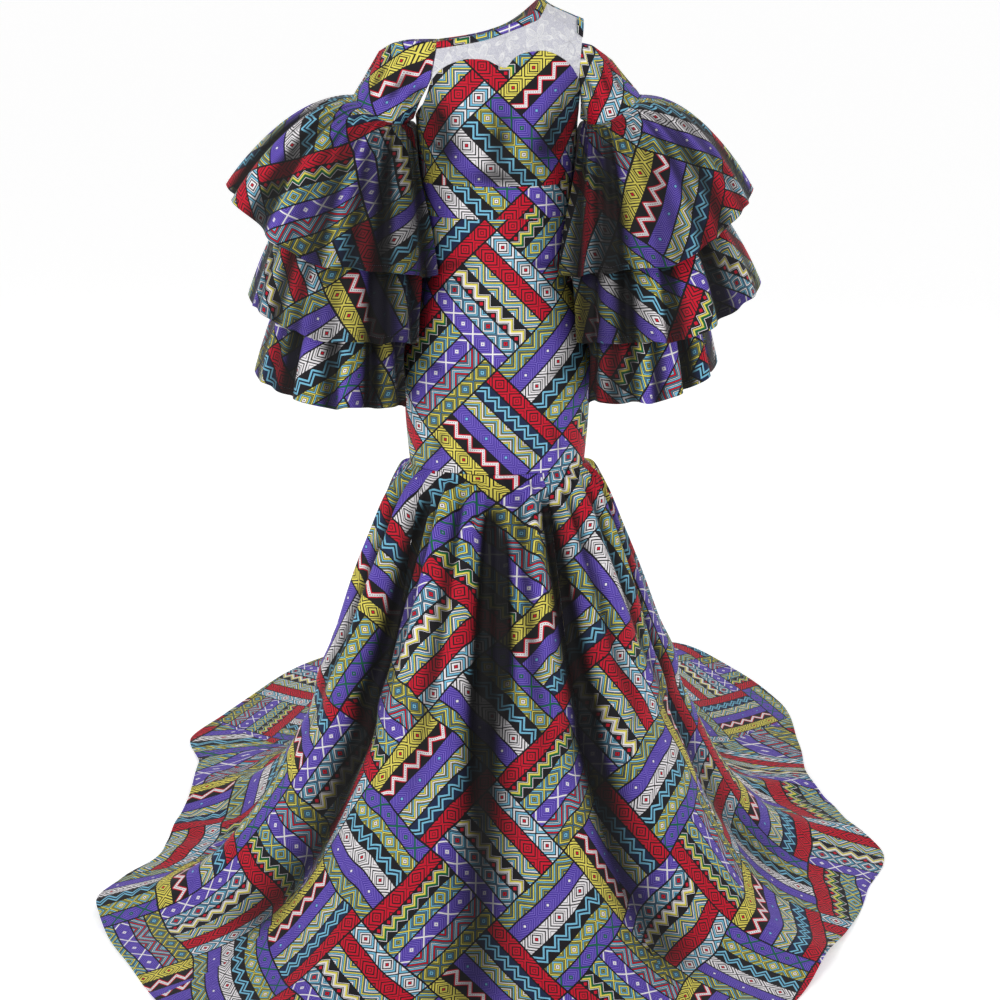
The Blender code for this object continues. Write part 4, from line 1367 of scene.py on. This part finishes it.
def ring_point(ring, turn, side):
    """Points of a sleeve ring: turn is 0 on the outer side and a quarter at the front."""
    r = dict(zip(RING_COLUMNS, ring))
    once, twice = np.cos(turn), np.cos(2 * turn)
    depth = np.where(np.sin(turn) > 0, r["y_front"], r["y_back"])
    x = r["x_mid"] + r["x_swing"] * once + r["x_saddle"] * twice
    z = r["z_mid"] + r["z_swing"] * once + r["z_saddle"] * twice
    return point(side * x, -depth * np.sin(turn), z)


def turns(side, count, join):
    """Turns round a sleeve from its join, in the order in which its rows run to +X by the front."""
    steps = np.linspace(0.0, 2 * math.pi, count, endpoint=False)
    return join + steps if side < 0 else join - steps


def top_edge_point(word, turn, side):
    """Points of a sleeve's top edge, on the body's surface: turn as in ring_point."""
    degrees = np.abs(wrapped(np.degrees(turn)))
    rows = TOP_EDGE[word]
    edge = row_between(TOP_EDGE_COLUMNS, rows, degrees, [row[0] for row in rows])
    backward = np.sin(turn) < 0
    y = np.where(
        backward,
        np.abs(across_block(edge["across"], edge["height"], True)[..., 1]),
        np.abs(across_block(edge["across"], edge["height"], False)[..., 1]),
    )
    depth = np.maximum(y, TOP_EDGE_DEPTH * np.abs(np.sin(turn)))
    return point(side * edge["across"], np.where(backward, depth, -depth), edge["height"])


def sleeve_grid(word, side):
    """The sleeve under the ruffles, from the off-shoulder edge to the last tier's seam."""
    rows, columns = SHELL_STEPS["sleeve"]
    round_it = turns(side, columns, TIER_JOIN)
    top = top_edge_point(word, round_it, side)
    rings = [ring_point(ring, round_it, side) for ring in SLEEVE_RINGS.values()]
    middle = (top + rings[0]) / 2
    return resample(np.stack([top, middle] + rings), rows + 1)


def clear_of_body(points, gap):
    """The points, moved out in plan to stay this far from the dress body."""
    x, y, z = points[..., 0], points[..., 1], points[..., 2]
    half_width, front, back = section(np.minimum(z, UNDERARM))
    cup = CUP["depth"] * ramp(*CUP_CLEARANCE, z)
    depth = np.where(y < 0, front + cup, back)
    share = np.hypot(x / (half_width + gap), y / (depth + gap))
    share = np.minimum(share, 1.0)
    return point(x / share, y / share, z)


def tier_wave(turn, share, seed):
    """The waves of a ruffle, uneven round it, from -1 to 1."""
    drift = 0.55 * np.sin(2 * turn + seed) + 0.35 * np.sin(5 * turn + 2.1 * seed)
    strength = 0.82 + 0.30 * np.sin(3 * turn + 1.7 * seed)
    return strength * np.cos(TIER_WAVES * turn + drift * share)


def tier_grid(tier, side, seed):
    """A ruffle from its seam to its hem, and the shade painted in its folds and near the body."""
    rows, columns = SHELL_STEPS["tier"]
    t = dict(zip(TIER_COLUMNS, tier))
    turn = turns(side, columns, TIER_JOIN)[None, :]
    from_outer = wrapped(np.degrees(turn))
    share = np.linspace(0.0, 1.0, rows + 1)[:, None]
    ring = SLEEVE_RINGS[t["ring"]]
    seam = ring_point(ring, turn[0], side)
    centre = side * ring[RING_COLUMNS.index("x_mid")]
    away = unit(np.stack([seam[:, 0] - centre, seam[:, 1]], axis=-1)) * (CLOTH + SEAM)
    seam_x, seam_y = seam[:, 0] + away[:, 0], seam[:, 1] + away[:, 1]
    hem_x = side * (t["x_mid"] + t["half_width"] * np.cos(turn))
    hem_y = -t["half_depth"] * np.sin(turn)
    level = t["front"] + (t["outer"] - t["front"]) * np.maximum(0, np.cos(turn)) ** HEM_SHARPNESS
    level = level + (t["inner"] - t["front"]) * np.maximum(0, -np.cos(turn)) ** HEM_SHARPNESS
    out, down = np.sin(share * math.pi / 2), share * share * (3 - 2 * share)
    x = seam_x + (hem_x - seam_x) * out
    y = seam_y + (hem_y - seam_y) * out
    z = seam[:, 2] + (level - seam[:, 2]) * down
    wave = tier_wave(turn, share, seed) * bpy.context.scene.dress_sizes.wave
    calm = 1 - OUTER_CALM["share"] * bell(from_outer, 0.0, OUTER_CALM["spread"])
    stand = t["wave"] * share * wave * calm
    trough = np.zeros_like(stand)
    for fold in TIER_FOLDS:
        f = dict(zip(TIER_FOLD_COLUMNS, fold))
        degrees = np.degrees(turn) + 9.0 * math.sin(seed + f["turn"])
        trough = trough + f["depth"] * bell(degrees, f["turn"], f["spread"])
    trough = trough * ramp(0.02, 0.45, share)
    drift = 1.9 * np.sin(3 * turn + seed) + 1.1 * np.sin(7 * turn + 2 * seed)
    pucker = 0.5 + 0.5 * np.cos(TIER_GATHERS["count"] * turn + drift)
    fade = ramp(0.0, TIER_GATHERS["full"], share) * (1 - ramp(0.1, TIER_GATHERS["gone"], share))
    gathers = TIER_GATHERS["depth"] * pucker * fade
    length = np.hypot(x - centre, y)
    move = stand - trough + gathers
    points = point(x + (x - centre) / length * move, y + y / length * move,
                   z + HEM_FALL * 0.5 * share * wave)
    # Shade painted on the ruffle: in its wave troughs and folds, between gathers and near the body
    w, f = WAVE_SHADE, FOLD_SHADE
    shade = w["share"] * np.clip(w["level"] - wave, 0, 1) ** w["power"] * ramp(0.0, 0.50, share)
    shade = shade + trough / f["full_depth"] * f["share"]
    shade = shade + GATHER_SHADE * (1 - pucker) * fade
    shade = shade + INNER_SHADE * ramp(*INNER_TURN, np.abs(from_outer)) * (1 - shade)
    return clear_of_body(points, t["body_gap"]), np.clip(shade, 0.0, 1.0)


def hem_reach(angle):
    """How far out the hem lies on the floor at an angle from the front."""
    ends = [(a - 360.0, r) for a, r in HEM[-2:]] + list(HEM)
    ends += [(a + 360.0, r) for a, r in HEM[:2]]
    return smooth([a for a, _ in ends], [r for _, r in ends], wrapped(angle))


def skirt_base(angle, at):
    """The skirt's plain trumpet, without folds. at runs from 0 at the seam to 1 at the hem."""
    rows = list(SKIRT.values())
    row = row_between(SKIRT_COLUMNS, rows, at, np.linspace(0.0, 1.0, len(rows)))
    turn = np.radians(angle)
    depth = np.where(np.cos(turn) > 0, row["front"], row["back"])
    x, y = row["half_width"] * np.sin(turn), -depth * np.cos(turn)
    reach = hem_reach(angle)
    x = x + (reach * np.sin(turn) - x) * row["reach"]
    y = y + (-reach * np.cos(turn) - y) * row["reach"]
    return x, y, row


def groove_at(angle, at):
    """How much of a full groove there is at a place."""
    groove = 0.0
    for fold in GROOVES.values():
        g = dict(zip(GROOVE_COLUMNS, fold))
        centre = g["waist_angle"] + (g["floor_angle"] - g["waist_angle"]) * at
        groove = groove + g["depth"] * bell(angle, centre, g["spread"])
    return groove


def skirt_form(angle, at):
    """The skirt's outer side as in the solids: the trumpet with its grooves and ridges."""
    x, y, row = skirt_base(angle, at)
    step = 0.01
    up_x, up_y, up = skirt_base(angle, np.maximum(0.0, at - step))
    down_x, down_y, down = skirt_base(angle, np.minimum(1.0, at + step))
    fall, run = up["height"] - down["height"], np.hypot(down_x - up_x, down_y - up_y)
    tilt = np.arctan2(run, np.maximum(fall, 1e-6))
    ridge = 0.0
    for fold in RIDGES.values():
        r = dict(zip(RIDGE_COLUMNS, fold))
        ridge = ridge + r["rise"] * bell(angle, r["angle"], r["spread"])
    inward = row["groove"] * (groove_at(angle, at) - GROOVE_LEVEL)
    size = np.hypot(x, y)
    x = x - x / size * inward * np.cos(tilt)
    y = y - y / size * inward * np.cos(tilt)
    z = row["height"] - inward * np.sin(tilt) + row["ridge"] * ridge
    return point(x, y, np.maximum(z, CLOTH)), row


def skirt_trough(angle, at):
    """Depth of the skirt's finer folds and gathers at a place."""
    depth = 0.0
    for fold in SKIRT_FOLDS:
        f = dict(zip(SKIRT_FOLD_COLUMNS, fold))
        share = np.clip((at - f["start"]) / (f["stop"] - f["start"]), 0.0, 1.0)
        centre = f["top_angle"] + (f["low_angle"] - f["top_angle"]) * share
        length = ramp(0.0, 0.18, share) * (1 - ramp(0.55, 1.0, share))
        depth = depth + f["depth"] * bell(angle, centre, f["spread"]) * length
    turn = np.radians(angle)
    g = SKIRT_GATHERS
    drift = 1.9 * np.sin(5 * turn + 0.4) + 1.2 * np.sin(9 * turn + 2.0)
    pucker = 0.5 - 0.5 * np.cos(g["count"] * turn + drift)
    fade = ramp(0.0, g["full"], at) * (1 - ramp(g["full"], g["gone"], at))
    return depth * bpy.context.scene.dress_sizes.folds + g["depth"] * pucker * fade


def gore_angles(first, last, columns, at):
    """Angles across a gore at each place down it, its edges an even gap from its neighbours."""
    gaps = []
    for angle in (first, last):
        x, y, _ = skirt_base(np.full(len(at), angle), at)
        gaps.append(np.degrees(GORE_GAP / 2 / np.hypot(x, y))[:, None])
    start, end = first + gaps[0], last - gaps[1]
    return start + (end - start) * np.linspace(0.0, 1.0, columns + 1)


def skirt_grid(angle, shares):
    """The skirt with all its folds, and the shade painted in its grooves and finer folds."""
    angle, at = np.broadcast_arrays(angle, shares[:, None])
    points, row = skirt_form(angle, at)
    turn_step, at_step = 0.15, 0.002
    across = skirt_form(angle + turn_step, at)[0] - skirt_form(angle - turn_step, at)[0]
    below, above = np.minimum(1.0, at + at_step), np.maximum(0.0, at - at_step)
    down = skirt_form(angle, below)[0] - skirt_form(angle, above)[0]
    trough = skirt_trough(angle, at)
    points = points - unit(np.cross(down, across)) * trough[..., None]
    turn = np.radians(angle)
    ripple = 0.5 + 0.5 * np.sin(HEM_RIPPLES["count"] * turn + 2.0 * np.sin(4 * turn))
    ripple = ripple * (0.6 + 0.4 * np.sin(7 * turn + 1.0)) * HEM_RIPPLES["height"]
    points[..., 2] += ripple * ramp(HEM_RIPPLES["start"], 1.0, at)
    points[..., 2] = np.maximum(points[..., 2], CLOTH)
    # Shade painted in the grooves, less towards the hem, and in the finer folds
    hanging = row["groove"] / DEEPEST_GROOVE
    faded = 1 - GROOVE_SHADE_FADE["share"] * ramp(GROOVE_SHADE_FADE["start"], 1.0, at)
    groove = np.clip(groove_at(angle, at), 0.0, 1.0) ** GROOVE_POWER
    fine = np.clip(trough, 0.0, None) / FINE_SHADE["full_depth"] * FINE_SHADE["share"]
    shade = groove * ramp(0.0, 0.5, hanging) * faded + fine * ramp(0.0, 0.3, hanging)
    return points, np.clip(shade, 0.0, 1.0)


def stitch_mesh(name, lines, finish):
    """Rows of stitches: small four-sided threads laid end to end along each line."""
    sizes = bpy.context.scene.dress_sizes
    corners, faces = [], []
    for line, outward in lines:
        at = running(lengths(np.diff(line, axis=0)))
        for start in np.arange(sizes.stitch_pitch / 2, at[-1] - sizes.stitch, sizes.stitch_pitch):
            rings = []
            for share, size in STITCH_PROFILE:
                place = start + share * sizes.stitch
                middle = np.array([np.interp(place, at, line[:, i]) for i in range(3)])
                out = np.array([np.interp(place, at, outward[:, i]) for i in range(3)])
                ahead = np.array([np.interp(place + 1e-4, at, line[:, i]) for i in range(3)])
                side = np.cross(unit(ahead - middle), out)
                radius = sizes.thread * size
                lifted = middle + out * sizes.thread * (0.35 + 0.5 * size)
                rings.append([lifted + side * radius, lifted + out * radius,
                              lifted - side * radius, lifted - out * radius])
            first = len(corners)
            corners += [corner for ring in rings for corner in ring]
            for k in range(len(STITCH_PROFILE) - 1):
                for i in range(4):
                    a, b = first + 4 * k + i, first + 4 * k + (i + 1) % 4
                    faces.append((a, b, b + 4, a + 4))
            faces.append((first + 3, first + 2, first + 1, first))
            last = first + 4 * (len(STITCH_PROFILE) - 1)
            faces.append((last, last + 1, last + 2, last + 3))
    hung = np.array(corners) - np.array([0.0, 0.0, SHOULDER_HEIGHT])
    mesh = bpy.data.meshes.new(name)
    mesh.from_pydata(hung.tolist(), [], faces)
    mesh.materials.append(finish)
    piece = bpy.data.objects.new(name, mesh)
    bpy.context.scene.collection.objects.link(piece)
    activate(piece)
    bpy.ops.object.mode_set(mode="EDIT")
    bpy.ops.mesh.select_all(action="SELECT")
    bpy.ops.mesh.normals_make_consistent(inside=False)
    bpy.ops.object.mode_set(mode="OBJECT")
    mesh.shade_smooth()
    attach(piece, "root")


def sewn_line(points, place, closed=False):
    """A row of a grid as a line to sew along, with the directions that point off the cloth."""
    line, outward = points[place], normals_of(points, closed)[place]
    if closed:
        line, outward = [np.concatenate([row, row[:1]]) for row in (line, outward)]
    return line, outward


def row_above_hem(points, distance):
    """The row of a grid that lies at least this far up from its last row."""
    up = lengths(np.diff(points, axis=0)).mean(axis=1)[::-1]
    return len(points) - 2 - int(np.searchsorted(np.cumsum(up), distance))


class DRESS_OT_body(bpy.types.Operator):
    """Make the fitted body and the band under the bust, front and back"""

    bl_idname = "dress.body"
    bl_label = "Body and band"

    def execute(self, context):
        sides = {"front": (-SIDE_SEAM, SIDE_SEAM), "back": (180.0 - SIDE_SEAM, 180.0 + SIDE_SEAM)}
        for side, (first, last) in sides.items():
            body = body_grid(first, last, BAND_BOTTOM - SEAM, BODY_LOW, SHELL_STEPS["body"])
            uv = block_cut(body, side == "back")
            body, depth = creased(body, uv, CREASES[f"body_{side}"])
            dress_node(f"body_{side}", body, uv, fold_shade(depth, body))
            band = body_grid(first, last, BAND_TOP - SEAM, BAND_BOTTOM, SHELL_STEPS["band"])
            uv = block_cut(band, side == "back") + BAND_SHIFT
            dress_node(f"band_{side}", band, uv, fold_shade(np.zeros(band.shape[:2]), band))
        return {"FINISHED"}


class DRESS_OT_bodice(bpy.types.Operator):
    """Make the sweetheart bodice front and the plain bodice back"""

    bl_idname = "dress.bodice"
    bl_label = "Bodice"

    def execute(self, context):
        for word, back in (("bodice_front", False), ("bodice_back", True)):
            points = bodice_grid(back)
            uv = block_cut(points, back)
            points, depth = creased(points, uv, CREASES[word])
            dress_node(word, points, uv, fold_shade(depth, points))
        return {"FINISHED"}


class DRESS_OT_yoke(bpy.types.Operator):
    """Make the white lace yoke"""

    bl_idname = "dress.yoke"
    bl_label = "Lace yoke"

    def execute(self, context):
        rows, columns = SHELL_STEPS["yoke"]
        points = yoke_grid(np.linspace(0.0, 1.0, rows + 1), columns)
        dress_node("lace_yoke", points, block_cut(points, False), slot="white_lace")
        return {"FINISHED"}


class DRESS_OT_bindings(bpy.types.Operator):
    """Make the printed strips round the neckline and armhole, and the strap"""

    bl_idname = "dress.bindings"
    bl_label = "Bindings and strap"

    def execute(self, context):
        grids = {
            "neck_binding_front": neck_binding_grid(False),
            "neck_binding_back": neck_binding_grid(True),
            "shoulder_strap": strap_grid(),
            "armhole_binding": armhole_strip_grid(),
        }
        lines = []
        for node, points in grids.items():
            points = crowned(points, BINDING_CROWN)
            uv = panel_cut(points, SHOULDER_HEIGHT, points.shape[1] // 2)
            dress_node(node, points, uv)
            lines += [sewn_line(points, 1), sewn_line(points, -2)]
        stitch_mesh("binding_stitches", lines, thread_finish())
        return {"FINISHED"}


class DRESS_OT_sleeves(bpy.types.Operator):
    """Make the off-shoulder sleeves under the ruffles"""

    bl_idname = "dress.sleeves"
    bl_label = "Sleeves"

    def execute(self, context):
        for word, side in (("left", 1), ("right", -1)):
            points = sleeve_grid(word, side)
            uv = tube_cut(joined(points))
            points, depth = creased(points, uv, CREASES["sleeve"], True)
            dress_node(f"sleeve_{word}", points, uv, fold_shade(depth), closed=True)
        return {"FINISHED"}


class DRESS_OT_ruffles(bpy.types.Operator):
    """Make the three gathered tiers of each sleeve, with their hems sewn"""

    bl_idname = "dress.ruffles"
    bl_label = "Ruffles"

    def execute(self, context):
        lines = []
        for word, side in (("left", 1), ("right", -1)):
            for seed, tier in enumerate(TIERS[word]):
                points, fold = tier_grid(tier, side, 1.3 * seed + 0.7 * side)
                height = SLEEVE_RINGS[tier[0]][RING_COLUMNS.index("z_mid")]
                uv = gathered_cut(joined(points), height, BEFORE_GATHERING)
                dress_node(f"ruffle_{word}_{tier[0]}", points, uv, fold, closed=True)
                lines.append(sewn_line(points, row_above_hem(points, HEM_SEWN), True))
        stitch_mesh("ruffle_hem_stitches", lines, thread_finish())
        return {"FINISHED"}


class DRESS_OT_skirt(bpy.types.Operator):
    """Make the four gores of the skirt and train, with the hem sewn"""

    bl_idname = "dress.skirt"
    bl_label = "Skirt and train"

    def execute(self, context):
        rows, columns = SHELL_STEPS["gore"]
        shares = np.linspace(0.0, 1.0, rows + 1)
        lines = []
        for node, (first, last, upright) in GORES.items():
            points, fold = skirt_grid(gore_angles(first, last, columns, shares), shares)
            uv = gore_cut(points, np.linspace(first, last, columns + 1), upright)
            dress_node(node, points, uv, fold)
            lines.append(sewn_line(points, -2))
        stitch_mesh("skirt_hem_stitches", lines, thread_finish())
        return {"FINISHED"}


def area_light(name, place, target, size, power):
    """A soft square light at a place, turned to a target."""
    data = bpy.data.lights.new(name, "AREA")
    data.shape = "SQUARE"
    data.size = size
    data.energy = power
    light = bpy.data.objects.new(name, data)
    light.location = place
    light.rotation_euler = (Vector(target) - Vector(place)).to_track_quat("-Z", "Y").to_euler()
    bpy.context.scene.collection.objects.link(light)


class DRESS_OT_stage(bpy.types.Operator):
    """Set the floor, the studio light and the camera"""

    bl_idname = "dress.stage"
    bl_label = "Stage"

    def execute(self, context):
        scene, stage = context.scene, context.scene.dress_stage
        bpy.ops.mesh.primitive_circle_add(
            vertices=96, radius=stage.floor_radius, fill_type="NGON",
            location=(0.0, 0.0, -SHOULDER_HEIGHT - FLOOR_DROP),
        )
        floor = context.active_object
        floor.name = "studio_floor"
        paper = plain_material("studio_floor", scene.dress_inks.floor, 0.9)
        glow = paper.node_tree.nodes["Principled BSDF"]
        glow.inputs["Emission Color"].default_value = (1.0, 1.0, 1.0, 1.0)
        glow.inputs["Emission Strength"].default_value = FLOOR_GLOW
        floor.data.materials.append(paper)
        for light in LIGHTS:
            area_light(*light)
        world = bpy.data.worlds.new("studio")
        world.use_nodes = True
        nodes, links = world.node_tree.nodes, world.node_tree.links
        backdrop = nodes["Background"]
        backdrop.inputs["Color"].default_value = (1.0, 1.0, 1.0, 1.0)
        seen = nodes.new("ShaderNodeLightPath").outputs["Is Camera Ray"]
        strength = nodes.new("ShaderNodeMapRange")
        strength.inputs["To Min"].default_value = AMBIENT
        strength.inputs["To Max"].default_value = 1.0
        links.new(seen, strength.inputs["Value"])
        links.new(strength.outputs[0], backdrop.inputs["Strength"])
        scene.world = world
        scene.view_settings.view_transform = "Standard"
        data = bpy.data.cameras.new("camera")
        data.lens = stage.lens
        data.sensor_width = 36.0
        data.clip_end = 1000.0
        camera = bpy.data.objects.new("camera", data)
        camera.location = (
            stage.camera_aside, -stage.camera_away, stage.camera_height - SHOULDER_HEIGHT,
        )
        camera.rotation_euler = (math.pi / 2 - stage.camera_tilt, 0.0, 0.0)
        scene.collection.objects.link(camera)
        scene.camera = camera
        return {"FINISHED"}


OPERATORS = (
    DRESS_OT_body,
    DRESS_OT_bodice,
    DRESS_OT_yoke,
    DRESS_OT_bindings,
    DRESS_OT_sleeves,
    DRESS_OT_ruffles,
    DRESS_OT_skirt,
    DRESS_OT_stage,
)


class DRESS_PT_panel(bpy.types.Panel):
    """Sizes, colours and steps of the dress"""

    bl_label = "Wax Print Dress"
    bl_idname = "DRESS_PT_panel"
    bl_space_type = "VIEW_3D"
    bl_region_type = "UI"
    bl_category = "Dress"

    def draw(self, context):
        layout = self.layout
        for group in (context.scene.dress_sizes, context.scene.dress_inks,
                      context.scene.dress_stage):
            box = layout.box()
            for name in group.__annotations__:
                box.prop(group, name)
        for operator in OPERATORS:
            layout.operator(operator.bl_idname)


GROUPS = {"dress_sizes": DressSizes, "dress_inks": DressInks, "dress_stage": DressStage}


def register():
    for group in GROUPS.values():
        bpy.utils.register_class(group)
    for operator in OPERATORS:
        bpy.utils.register_class(operator)
    bpy.utils.register_class(DRESS_PT_panel)
    for name, group in GROUPS.items():
        setattr(bpy.types.Scene, name, PointerProperty(type=group))


def unregister():
    for name in GROUPS:
        delattr(bpy.types.Scene, name)
    bpy.utils.unregister_class(DRESS_PT_panel)
    for operator in reversed(OPERATORS):
        bpy.utils.unregister_class(operator)
    for group in reversed(GROUPS.values()):
        bpy.utils.unregister_class(group)


def main():
    register()
    bpy.ops.dress.body()
    bpy.ops.dress.bodice()
    bpy.ops.dress.yoke()
    bpy.ops.dress.bindings()
    bpy.ops.dress.sleeves()
    bpy.ops.dress.ruffles()
    bpy.ops.dress.skirt()
    bpy.ops.dress.stage()


if __name__ == "__main__":
    main()
